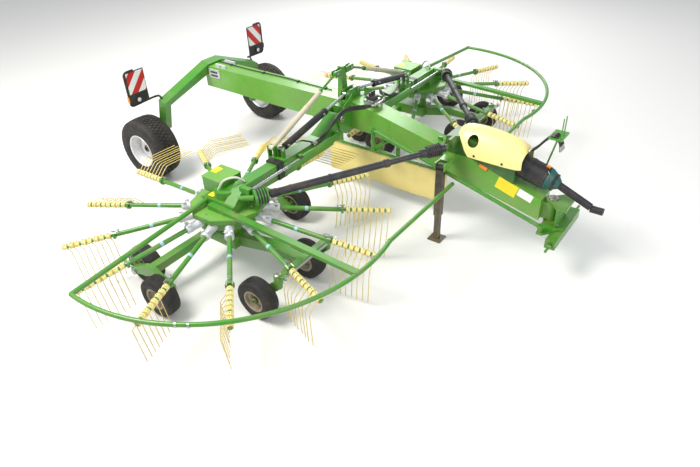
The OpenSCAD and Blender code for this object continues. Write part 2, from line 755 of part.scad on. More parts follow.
// Castor fork: pin, lever for the tie rod, arm and stub axle, both wheels on the outer side
module castor(y) {
    translate([castor_x, rotor_y + y, 0]) {
        translate([0, 0, castor_h - 130]) cylinder(d = castor_pin_d, h = 160, $fn = fine_fn);
        translate([0, 0, castor_h + 10 + fit]) cylinder(d = 80, h = 16, $fn = fine_fn);
        block([0, -16, castor_h + 10 + fit], [castor_lever, 16, castor_h + 26]);
        translate([castor_lever, 0, castor_h + 12]) cylinder(d = 18, h = 44, $fn = fine_fn);
        translate([0, 0, castor_h - 130]) cylinder(d = 70, h = 50 - fit, $fn = fine_fn);
        across(40) polygon([[30, castor_h - 82], [30, castor_h - 130], [-castor_trail + 30, axle_h - 35], [-castor_trail - 35, axle_h - 35],
            [-castor_trail - 35, axle_h + 35], [-60, castor_h - 82]]);
        translate([-castor_trail, castor_offset / 2 + 20, axle_h]) rod_y(small_axle_d, castor_offset + 50);
    }
}

module tie_rod() {
    translate([castor_x + castor_lever, rotor_y, castor_h + 44]) difference() {
        union() {
            rod_y(20, 2 * castor_y - 20);
            for (s = [-1, 1]) translate([0, s * castor_y, -14]) cylinder(d = 40, h = 28, $fn = fine_fn);
        }
        for (s = [-1, 1]) translate([0, s * castor_y, -60]) cylinder(d = 18 + 2 * fit, h = 120, $fn = fine_fn);
    }
}

// Guard hoop with its two bars, seated on the head's outer face

bar_end_x = sqrt(hoop_r * hoop_r - 200 * 200);
module guard_hoop() {
    translate([0, rotor_y, hoop_h]) {
        rotate([0, 0, -12]) rotate_extrude(angle = 106, $fn = 96) translate([hoop_r, 0]) circle(d = hoop_d, $fn = fine_fn);
    }
    hoop_front_x = hoop_r * cos(12);
    translate([hoop_front_x, (hoop_inner_y + rotor_y - hoop_r * sin(12)) / 2, hoop_h])
        rod_y(hoop_d, rotor_y - hoop_r * sin(12) - hoop_inner_y);
    translate([hoop_front_x, rotor_y - hoop_r * sin(12), hoop_h]) sphere(d = hoop_d + 6, $fn = fine_fn);
    across(70, rotor_y + head_y1 + 35)
        polygon([[-60, gear_top + fit], [-60, gear_top + 60], [bar_end_x, hoop_h + 25], [bar_end_x, hoop_h - 15],
            [450, gear_top + fit]]);
    difference() {
        bar([-150, rotor_y + head_y1 - 40, gear_top + 51], [-125, rotor_y + hoop_r, hoop_h], 50);
        block([-400, rotor_y, gear_top - 50], [400, rotor_y + head_y1, gear_top + 150]);
    }
}

// Rotor: hub ring with sockets, arm tubes and carriers

module arm_frame(i) {
    translate([0, rotor_y, 0]) rotate([0, 0, first_arm + i * arm_pitch])
        translate([arm_root_r, 0, arm_root_h]) rotate([0, arm_slope, 0]) children();
}

arm_length = (arm_reach - arm_root_r) / cos(arm_slope);
carrier_start = (tine_inner_r - 60 - arm_root_r) / cos(arm_slope);

module rotor_arms() {
    difference() {
        union() {
            translate([0, rotor_y, hub_bottom]) cylinder(r = hub_r, h = hub_h, $fn = 64);
            for (i = [0 : arm_count - 1]) arm_frame(i) {
                translate([-80, 0, 0]) rotate([0, 90, 0]) cylinder(d = socket_d, h = socket_length + 40, $fn = fine_fn);
                rotate([0, 90, 0]) cylinder(d = arm_tube_d, h = carrier_start, $fn = fine_fn);
                translate([carrier_start - 12, 0, 0]) rotate([0, 90, 0]) cylinder(d = arm_tube_d + 40, h = 24, $fn = fine_fn);
                rotate([0, 90, 0]) cylinder(d = carrier_d, h = arm_length, $fn = fine_fn);
            }
        }
        translate([0, rotor_y, hub_bottom - 1]) cylinder(r = column_r + fit, h = hub_h + 2, $fn = round_fn);
    }
}

// One finger: a bent strip of the wire's thickness
module finger() {
    t = tine_wire;
    a = [22, 22];
    b = a + tine_shank * [cos(tine_kink), sin(tine_kink)];
    c = b + [tine_length, 0];
    n = t * [-sin(tine_kink), cos(tine_kink)];
    rotate([90, 0, 90]) linear_extrude(t, center = true)
        polygon([a, b, c, c + [0, t], b + [-t * tan(tine_kink / 2), t], a + n]);
}

module tine_block() {
    rotate([0, 90, 0]) difference() {
        cylinder(d = tine_block_d, h = tine_block_l, center = true, $fn = 12);
        cylinder(d = carrier_d + 2 * fit, h = tine_block_l + 2, center = true, $fn = fine_fn);
    }
}

module tines() {
    for (i = [0 : arm_count - 1]) arm_frame(i)
        for (k = [0 : tines_per_arm - 1])
            translate([(tine_inner_r + k * tine_step - arm_root_r) / cos(arm_slope), 0, 0]) {
                rotate([cam_lift[i] - 90 - tine_lean * (1 - cam_lift[i] / 90), 0, 0]) finger();
                tine_block();
            }
}

// Side drive shaft, aimed from the gearbox to the rotor head

shaft_length = norm(joint_out - joint_in);
inner_end = 1300;
sleeve_start = 640;
module shaft_tube() {
    difference() {
        aim(joint_in, joint_out) rotate([0, 90, 0]) union() {
            translate([0, 0, 12]) cylinder(d = 88, h = 60, $fn = round_fn);
            translate([0, 0, 60]) cylinder(d = 112, h = 150, $fn = round_fn);
            cylinder(d = inner_guard_d, h = inner_end, $fn = round_fn);
        }
        translate(joint_in) sphere(r = ball_r + fit, $fn = round_fn);
        translate([joint_in[0], joint_in[1] - 60, joint_in[2]]) rod_y(50, 120);
    }
}

module shaft_sleeve() {
    aim(joint_in, joint_out) rotate([0, 90, 0]) {
        difference() {
            translate([0, 0, sleeve_start]) cylinder(d = guard_tube_d, h = shaft_length - 90 - sleeve_start, $fn = round_fn);
            translate([0, 0, sleeve_start - 1]) cylinder(d = inner_guard_d + 2 * fit, h = inner_end + 10 - sleeve_start, $fn = round_fn);
        }
        translate([0, 0, shaft_length - 100]) cylinder(d = 44, h = 115, $fn = round_fn);
    }
}

module paint(name) {
    color(name == "dark" ? dark : name == "steel" ? steel : name == "cream" ? cream : name == "canvas" ? canvas : leaf_green)
        children();
}

main_beam();
centre_console();
rear_axle();
hood();
gearbox();
curtain_rail();
curtain();
warning_boards();
hose_holder();
input_shaft();
headstock();
steering_rod();
relay_lever();
parking_jack();
for (left = [true, false]) {
    side = left ? "_left" : "_right";
    on_side(left) paint("green") knuckle();
    on_side(left) paint("dark") rear_wheel();
    on_side(left) paint("green") swing_arm();
    on_side(left) paint("dark")
        link_tube(lift_base, lift_eye, lift_cylinder_d, 64, lift_rod_d, 160, 820, 46);
    on_side(left) paint("steel")
        link_rod(lift_base, lift_eye, lift_rod_d, 500, 46);
    on_side(left) paint("canvas")
        link_tube(strut_base, strut_eye, strut_tube_d, 30, strut_inner_d, 45, 680, 62);
    on_side(left) paint("green")
        strut_slider();
    on_side(left) paint("green") rotor_head();
    on_side(left) paint("green") running_gear();
    on_side(left) paint("green") guard_hoop();
    on_side(left) paint("green") rotor_arms();
    on_side(left) paint("cream") tines();
    on_side(left) paint("dark") shaft_tube();
    on_side(left) paint("dark") shaft_sleeve();
    on_side(left) paint("dark")
        small_wheel(tandem_rear_x, tandem_y - tandem_wheel_y);
    on_side(left) paint("dark")
        small_wheel(tandem_front_x, tandem_y + tandem_wheel_y);
    on_side(left) paint("dark")
        small_wheel(tandem_rear_x, -tandem_y + tandem_wheel_y);
    on_side(left) paint("dark")
        small_wheel(tandem_front_x, -tandem_y - tandem_wheel_y);
    on_side(left) paint("green") castor(-castor_y);
    on_side(left) paint("green") castor(castor_y);
    on_side(left) paint("dark")
        small_wheel(castor_x - castor_trail, -castor_y + castor_offset);
    on_side(left) paint("dark")
        small_wheel(castor_x - castor_trail, castor_y + castor_offset);
    on_side(left) paint("steel") tie_rod();
}
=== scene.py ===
"""Looks of a towed twin rotor hay rake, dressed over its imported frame.

Lengths are metres in the machine's own axes: X forwards from the rotor axes, Y to
the left, Z up from the floor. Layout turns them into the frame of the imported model.
"""

from __future__ import annotations

import json
import logging
import math
from dataclasses import dataclass
from enum import Enum
from functools import cache

import bmesh
import bpy
from mathutils import Matrix, Vector, noise

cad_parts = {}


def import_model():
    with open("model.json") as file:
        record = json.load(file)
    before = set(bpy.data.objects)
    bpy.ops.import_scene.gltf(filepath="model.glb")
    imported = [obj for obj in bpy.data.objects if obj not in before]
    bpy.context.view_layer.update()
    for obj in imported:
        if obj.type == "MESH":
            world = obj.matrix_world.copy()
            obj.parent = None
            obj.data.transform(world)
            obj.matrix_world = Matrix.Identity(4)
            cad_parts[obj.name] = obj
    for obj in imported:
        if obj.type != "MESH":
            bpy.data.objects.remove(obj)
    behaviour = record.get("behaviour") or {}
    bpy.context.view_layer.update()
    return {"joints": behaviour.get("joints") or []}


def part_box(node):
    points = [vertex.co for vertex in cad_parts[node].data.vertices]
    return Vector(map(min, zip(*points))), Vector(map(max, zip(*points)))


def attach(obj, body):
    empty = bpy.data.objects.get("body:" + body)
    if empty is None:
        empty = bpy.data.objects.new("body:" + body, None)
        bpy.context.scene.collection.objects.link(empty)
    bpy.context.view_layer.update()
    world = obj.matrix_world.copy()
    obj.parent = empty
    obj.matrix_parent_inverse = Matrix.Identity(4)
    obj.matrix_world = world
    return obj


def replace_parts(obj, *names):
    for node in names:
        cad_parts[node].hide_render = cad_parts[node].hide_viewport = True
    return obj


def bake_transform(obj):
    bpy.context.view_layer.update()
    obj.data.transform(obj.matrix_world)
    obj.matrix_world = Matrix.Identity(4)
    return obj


LOG = logging.getLogger("rake")
PHOTO_WIDTH = 700

Rgb = tuple[float, float, float]
Point = tuple[float, float, float] | Vector
Flat = tuple[float, float]


def srgb(red: int, green: int, blue: int) -> Rgb:
    """Turns a colour as it is seen on a screen into the renderer's linear values.

    Args:
        red: Red, 0 to 255.
        green: Green, 0 to 255.
        blue: Blue, 0 to 255.

    Returns:
        The three linear values.
    """
    def linear(value: int) -> float:
        """One channel made linear."""
        share = value / 255
        return share / 12.92 if share <= 0.04045 else ((share + 0.055) / 1.055) ** 2.4
    return linear(red), linear(green), linear(blue)


DUST = srgb(150, 132, 92)


class Side(Enum):
    """The two halves of the machine."""

    LEFT = 1
    RIGHT = -1

    @property
    def tag(self) -> str:
        """The side's name as it ends the names of nodes and bodies."""
        return self.name.lower()


class Plane(Enum):
    """The plane in which a prism's outline is drawn."""

    XY = "xy"
    XZ = "xz"
    YZ = "yz"

    def lift(self, a: float, b: float, depth: float) -> Point:
        """The point at (a, b) of the plane and depth across it.

        Args:
            a: First coordinate in the plane.
            b: Second coordinate in the plane.
            depth: Distance across the plane.

        Returns:
            The point in space.
        """
        if self is Plane.XY:
            return a, b, depth
        return (a, depth, b) if self is Plane.XZ else (depth, a, b)


class Tread(Enum):
    """The two tyre patterns of the machine."""

    BLOCK = "staggered blocks"
    RIB = "ribs round the tyre"


# Shader graphs


class Signal:
    """A socket's output that takes part in sums written as Python expressions."""

    def __init__(self, graph: Graph, socket: bpy.types.NodeSocket) -> None:
        """Keeps the graph and the socket that it wraps."""
        self.graph = graph
        self.socket = socket

    def _math(self, operation: str, first: Signal | float, second: Signal | float) -> Signal:
        """Adds a Math node of that operation on two values."""
        return self.graph.node("ShaderNodeMath", {"operation": operation}, {0: first, 1: second})

    def __add__(self, other: Signal | float) -> Signal:
        """Sum."""
        return self._math("ADD", self, other)

    __radd__ = __add__

    def __sub__(self, other: Signal | float) -> Signal:
        """Difference."""
        return self._math("SUBTRACT", self, other)

    def __rsub__(self, other: Signal | float) -> Signal:
        """Difference with this signal taken away."""
        return self._math("SUBTRACT", other, self)

    def __mul__(self, other: Signal | float) -> Signal:
        """Product."""
        return self._math("MULTIPLY", self, other)

    __rmul__ = __mul__

    def over(self, edge: float, width: float) -> Signal:
        """Rises from 0 to 1 as the signal passes from edge to edge + width."""
        return self.graph.node("ShaderNodeMath", {"operation": "MULTIPLY", "use_clamp": True},
                               {0: self - edge, 1: 1 / width})


class Graph:
    """The node tree of one material, with a Principled shader at its end."""

    def __init__(self, name: str) -> None:
        """Makes the material.

        Args:
            name: The material's name.
        """
        self.material = bpy.data.materials.new(name)
        self.material.use_nodes = True
        self.tree = self.material.node_tree
        self.shader = self.tree.nodes["Principled BSDF"]

    def feed(self, socket: bpy.types.NodeSocket, value: Signal | float | tuple) -> None:
        """Links a signal to a socket or sets the socket's own value.

        Args:
            socket: The input.
            value: A signal, a number, or a colour of three.
        """
        if isinstance(value, Signal):
            self.tree.links.new(value.socket, socket)
        elif isinstance(value, tuple) and len(value) == 3 and socket.type == "RGBA":
            socket.default_value = (*value, 1.0)
        else:
            socket.default_value = value

    def node(self, kind: str, settings: dict | None = None, values: dict | None = None,
             out: int | str = 0) -> Signal:
        """Adds a node.

        Args:
            kind: The node's type.
            settings: Its own settings, set first; "stops" fills a colour ramp.
            values: Values or signals by the socket's name or place.
            out: The output wanted.

        Returns:
            That output.
        """
        made = self.tree.nodes.new(kind)
        for key, value in (settings or {}).items():
            if key == "stops":
                for spare, (place, colour) in zip(made.color_ramp.elements, value):
                    spare.position, spare.color = place, (*colour, 1.0)
            else:
                setattr(made, key, value)
        for key, value in (values or {}).items():
            self.feed(made.inputs[key], value)
        return Signal(self, made.outputs[out])

    def set(self, **sockets: Signal | float | tuple) -> None:
        """Feeds the shader's sockets, named with _ for a space."""
        for key, value in sockets.items():
            self.feed(self.shader.inputs[key.replace("_", " ")], value)

    def place(self) -> Signal:
        """Coordinates that stay on the piece as it moves."""
        return self.node("ShaderNodeTexCoord", out="Object")

    def height(self) -> Signal:
        """Height above the floor at rest."""
        return self.node("ShaderNodeSeparateXYZ", values={0: self.place()}, out=2)

    def cloud(self, scale: float, detail: float = 3.0, rough: float = 0.55) -> Signal:
        """Noise from 0 to 1 at that many waves a metre."""
        return self.node("ShaderNodeTexNoise", values={
            "Vector": self.place(), "Scale": scale, "Detail": detail, "Roughness": rough})

    def blend(self, share: Signal | float, low: Signal | Rgb, high: Signal | Rgb) -> Signal:
        """A colour between two others."""
        return self.node("ShaderNodeMix", {"data_type": "RGBA"}, {0: share, 6: low, 7: high}, out=2)

    def bump(self, height: Signal, strength: float, distance: float) -> None:
        """Gives the shader a relief.

        Args:
            height: The relief, from 0 to 1.
            strength: Share of it that shows.
            distance: Its depth in metres.
        """
        relief = self.node("ShaderNodeBump", values={
            "Height": height, "Strength": strength, "Distance": distance})
        self.set(Normal=relief)


@dataclass(frozen=True)
class Finish:
    """A surface: its name, the record's slot that it stands for and its colour."""

    name: str
    slot: str
    colour: Rgb

    def dress(self, graph: Graph) -> None:
        """Builds the surface's nodes."""
        raise NotImplementedError

    def shade(self, share: float) -> Rgb:
        """The colour at a share of its brightness."""
        return tuple(c * share for c in self.colour)

    @cache
    def material(self) -> bpy.types.Material:
        """The finish as a material, made once.

        Returns:
            The material.
        """
        graph = Graph(self.name)
        self.dress(graph)
        graph.material.diffuse_color = (*self.colour, 1.0)
        return graph.material


@dataclass(frozen=True)
class Paint(Finish):
    """Sprayed paint with a clear sheen, field dust and small chips."""

    dust: float = 0.35
    rough: float = 0.33
    coat: float = 0.35

    def dress(self, graph: Graph) -> None:
        """Tint that drifts a little, dust that gathers low down, chips to grey steel.

        Args:
            graph: The material's nodes.
        """
        drift = graph.cloud(1.7, 2.0)
        soil = graph.cloud(5.5, 6.0, 0.68)
        speck = graph.cloud(140.0, 2.0)
        low = 1.0 - graph.height().over(0.15, 1.1)
        dust = (soil * 0.75 + speck * 0.25 + low * 0.12).over(0.5, 0.22) * self.dust
        tint = graph.blend(drift.over(0.35, 0.4), self.shade(0.8), self.colour)
        tinted = graph.blend(dust, tint, DUST)
        chips = graph.cloud(46.0, 4.0, 0.7).over(0.705, 0.012)
        graph.set(Base_Color=graph.blend(chips * 0.8, tinted, srgb(96, 98, 92)),
                  Roughness=dust * 0.45 + (speck * 0.08 + (self.rough - 0.04)),
                  Coat_Weight=self.coat * (1.0 - dust), Coat_Roughness=0.18)
        graph.bump(speck * 0.4 - chips, 0.12, 0.001)


@dataclass(frozen=True)
class Plastic(Finish):
    """Moulded or rotation-moulded plastic with a fine grain."""

    rough: float = 0.5
    grain: float = 0.15
    dust: float = 0.25

    def dress(self, graph: Graph) -> None:
        """An even colour under dust, with a grained skin.

        Args:
            graph: The material's nodes.
        """
        soil = graph.cloud(7.0, 5.0, 0.65)
        grain = graph.cloud(420.0, 2.0)
        dust = soil.over(0.48, 0.28) * self.dust
        graph.set(Base_Color=graph.blend(dust, self.colour, DUST),
                  Roughness=soil * 0.16 + (self.rough - 0.08))
        graph.bump(grain, self.grain, 0.0008)


@dataclass(frozen=True)
class Rubber(Finish):
    """Tyre rubber with dust in its grooves and on its walls."""

    dust: float = 0.45

    def dress(self, graph: Graph) -> None:
        """Near black, scuffed, browner where it meets the ground.

        Args:
            graph: The material's nodes.
        """
        soil = graph.cloud(9.0, 6.0, 0.7)
        fine = graph.cloud(260.0, 3.0)
        dust = (soil * 0.8 + fine * 0.2).over(0.44, 0.3) * self.dust
        graph.set(Base_Color=graph.blend(dust, self.colour, srgb(96, 84, 64)),
                  Roughness=soil * 0.2 + 0.62)
        graph.bump(fine, 0.25, 0.001)


@dataclass(frozen=True)
class Metal(Finish):
    """Bare, plated or cast metal."""

    rough: float = 0.3
    metallic: float = 1.0
    pits: float = 0.1
    dust: float = 0.15

    def dress(self, graph: Graph) -> None:
        """A metal surface with fine pits and a film of dust.

        Args:
            graph: The material's nodes.
        """
        soil = graph.cloud(12.0, 5.0, 0.65)
        pits = graph.cloud(300.0, 3.0)
        dust = soil.over(0.5, 0.25) * self.dust
        graph.set(Base_Color=graph.blend(dust, self.colour, DUST), Metallic=self.metallic - dust * 0.8,
                  Roughness=soil * 0.14 + dust * 0.4 + (self.rough - 0.07))
        graph.bump(pits, self.pits, 0.0012)


@dataclass(frozen=True)
class Canvas(Finish):
    """Coated cloth with a plain weave."""

    thread: float = 0.0024

    def dress(self, graph: Graph) -> None:
        """Two crossing sets of threads under a faded, dusty coat.

        Args:
            graph: The material's nodes.
        """
        waves = 1 / self.thread
        warp, weft = (graph.node("ShaderNodeTexWave", {"bands_direction": way}, {
            "Vector": graph.place(), "Scale": waves * 0.16, "Distortion": 0.4}) for way in "XZ")
        fade = graph.cloud(3.0, 5.0, 0.6)
        low = 1.0 - graph.height().over(0.22, 0.25)
        stain = (fade * 0.8 + low * 0.3).over(0.5, 0.4) * 0.5
        pale = graph.blend(fade.over(0.3, 0.4), self.shade(0.86), self.colour)
        graph.set(Base_Color=graph.blend(stain, pale, srgb(170, 146, 96)), Roughness=fade * 0.2 + 0.55)
        graph.bump(warp * weft, 0.35, 0.0008)


@dataclass(frozen=True)
class Lens(Finish):
    """A lamp's or reflector's moulded lens."""

    def dress(self, graph: Graph) -> None:
        """Clear coloured plastic over a field of tiny prisms.

        Args:
            graph: The material's nodes.
        """
        prism = graph.node("ShaderNodeTexVoronoi", values={"Vector": graph.place(), "Scale": 160.0})
        graph.set(Base_Color=graph.blend(prism.over(0.1, 0.5), self.shade(0.55), self.colour),
                  Roughness=0.12, Coat_Weight=0.6)
        graph.bump(prism, 0.3, 0.001)


LEAF = Paint("leaf_green", "green_paint", srgb(64, 140, 34))
# Painted shade: a darker copy of the same green paint, standing in for shadow on the gearbox, the knuckles,
# the rib wheels' hubs and the strut's wiper
LEAF_PAINTED_SHADE = Paint("deep_green", "green_paint", srgb(44, 102, 30))
# Pale green of the main beam and its seams, matched to the sunlit green, so part of its paleness is painted
# sunlight; on the heads' cover ring and case lid it is a painted highlight on their top faces
BEAM_GREEN_AND_PAINTED_LIGHT = Paint("beam_green", "pale_green_paint", srgb(104, 166, 60), dust=0.25, rough=0.28)
CREAM = Plastic("cream_hood", "hood_plastic", srgb(240, 224, 146), rough=0.32, grain=0.05, dust=0.12)
BEIGE = Paint("beige_tube", "hood_plastic", srgb(205, 196, 170), dust=0.3)
CLOTH = Canvas("curtain_cloth", "canvas", srgb(238, 220, 142))
BLACK = Plastic("black_guard", "black_plastic", srgb(34, 33, 38), rough=0.42, dust=0.16)
BLACK_PAINT = Paint("black_paint", "black_paint", srgb(24, 25, 28), dust=0.2)
HOSE = Plastic("hose_rubber", "black_plastic", srgb(22, 22, 24), rough=0.4, dust=0.12)
HOSE_GREY = Plastic("hose_grey", "black_plastic", srgb(196, 194, 186), rough=0.4, dust=0.2)
TYRE = Rubber("tyre_rubber", "tyre", srgb(27, 27, 29))
RIM = Metal("silver_rim", "bright_steel", srgb(214, 214, 216), rough=0.42, metallic=0.25, dust=0.2)
RIM_WORN = Metal("worn_rim", "bright_steel", srgb(150, 138, 120), rough=0.5, metallic=0.35, dust=0.5)
CAST = Metal("cast_socket", "bright_steel", srgb(206, 208, 212), rough=0.48, metallic=0.35, pits=0.4)
ZINC = Metal("zinc_bolt", "bright_steel", srgb(176, 174, 166), rough=0.35)
STEEL = Metal("bright_steel", "bright_steel", srgb(178, 180, 184), rough=0.3)
CHROME = Metal("chrome_rod", "chrome_rod", srgb(214, 216, 220), rough=0.14, pits=0.02, dust=0.05)
DARK_STEEL = Paint("dark_steel", "dark_steel", srgb(44, 42, 42), dust=0.4, rough=0.5)
TINE_BLOCK = Plastic("tine_block", "tine_wire", srgb(232, 219, 150), rough=0.5, dust=0.3)
WIRE = Paint("tine_wire", "tine_wire", srgb(222, 198, 102), dust=0.2, rough=0.36)
BAND_BLUE = Plastic("pale_blue_band", "black_plastic", srgb(150, 186, 206), rough=0.5)
TEAL = Plastic("teal_cone", "black_plastic", srgb(18, 84, 78), rough=0.45)
YELLOW = Plastic("yellow_plate", "hood_plastic", srgb(244, 214, 44), rough=0.4, dust=0.1)
WHITE = Plastic("white_plate", "hood_plastic", srgb(236, 238, 236), rough=0.4, dust=0.1)
RED = Plastic("board_red", "black_plastic", srgb(200, 28, 34), rough=0.35, dust=0.05)
AMBER = Lens("amber_lens", "black_plastic", srgb(255, 140, 20))
CLEAR_LENS = Lens("clear_lens", "black_plastic", srgb(225, 228, 232))

# Nodes that are seen in their own form: their finish and the width of the round on their edges
COATS: dict[str, tuple[Finish, float]] = {
    # main_beam: the pale green that is partly painted sunlight
    "main_beam": (BEAM_GREEN_AND_PAINTED_LIGHT, 0.006), "centre_console": (LEAF, 0.003), "rear_axle": (LEAF, 0.006),
    # gearbox and knuckle_{side} take the painted-shade copy of the green
    "curtain_rail": (LEAF, 0.002), "gearbox": (LEAF_PAINTED_SHADE, 0.004), "hose_holder": (LEAF, 0.0),
    "input_shaft": (BLACK, 0.0), "headstock": (LEAF, 0.004), "steering_rod": (LEAF, 0.0),
    "relay_lever": (LEAF, 0.002), "parking_jack": (DARK_STEEL, 0.003), "knuckle_{side}": (LEAF_PAINTED_SHADE, 0.0),
    "swing_arm_{side}": (LEAF, 0.004), "lift_barrel_{side}": (BLACK_PAINT, 0.0),
    "lift_rod_{side}": (CHROME, 0.0), "strut_tube_{side}": (BEIGE, 0.0), "strut_rod_{side}": (LEAF, 0.0),
    "shaft_tube_{side}": (BLACK, 0.0), "shaft_sleeve_{side}": (BLACK, 0.0),
    "rotor_head_{side}": (LEAF, 0.003), "guard_hoop_{side}": (LEAF, 0.0),
    "running_gear_{side}": (LEAF, 0.004), "castor_inner_{side}": (LEAF, 0.003),
    "castor_outer_{side}": (LEAF, 0.003), "tie_rod_{side}": (STEEL, 0.0), "rotor_arms_{side}": (LEAF, 0.0),
}

# Pins of the lift cylinder and the strut on the left half: on the arm, then on console or post
LIFT_FOOT, LIFT_EYE = (0.170, 1.300, 1.140), (0.170, 0.100, 1.360)
STRUT_FOOT, STRUT_EYE = (0.070, 1.330, 1.150), (0.070, 0.140, 1.600)


# Geometry


def turn(axis: Point, at: Point = (0, 0, 0)) -> Matrix:
    """A place whose own Z points along axis and whose origin is at a point."""
    return Matrix.Translation(at) @ Vector(axis).to_track_quat("Z", "Y").to_matrix().to_4x4()


def bends(points: list[Point], bend: float, steps: int = 5) -> list[Vector]:
    """A path with its corners rounded as a tube is bent.

    Args:
        points: The corners.
        bend: Distance from a corner at which its bend starts.
        steps: Points on each bend.

    Returns:
        The points of the rounded path.
    """
    corners = [Vector(p) for p in points]
    path = [corners[0]]
    for before, here, after in zip(corners, corners[1:], corners[2:]):
        back, ahead = (before - here), (after - here)
        reach = min(bend, back.length * 0.49, ahead.length * 0.49)
        start, end = here + back.normalized() * reach, here + ahead.normalized() * reach
        for i in range(steps + 1):
            t = i / steps
            path.append(start * (1 - t) ** 2 + here * (2 * t * (1 - t)) + end * t ** 2)
    return path + [corners[-1]]


def flow(points: list[Point], steps: int = 8) -> list[Vector]:
    """A smooth path through points, as a hose takes between its fittings.

    Args:
        points: The points that it passes.
        steps: Points on each stretch.

    Returns:
        The points of the smooth path.
    """
    knots = [Vector(p) for p in points]
    knots = [knots[0] * 2 - knots[1], *knots, knots[-1] * 2 - knots[-2]]
    path = []
    for a, b, c, d in zip(knots, knots[1:], knots[2:], knots[3:]):
        for i in range(steps):
            t = i / steps
            path.append(0.5 * (b * 2 + (c - a) * t + (a * 2 - b * 5 + c * 4 - d) * t * t
                               + (b * 3 - a - c * 3 + d) * t ** 3))
    return path + [knots[-2]]


@dataclass(frozen=True)
class Layout:
    """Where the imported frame's joints are, and how machine axes sit in the row frame."""

    joints: dict[str, dict]

    @property
    def shift(self) -> float:
        """Place along X of the rotor axes in the row frame."""
        return self.joints["rotor_turn_left"]["pos_m"][0]

    def at(self, joint: str) -> Vector:
        """A joint's place in machine axes, mirrored to the left half."""
        x, y, z = self.joints[joint]["pos_m"]
        return Vector((x - self.shift, abs(y), z))


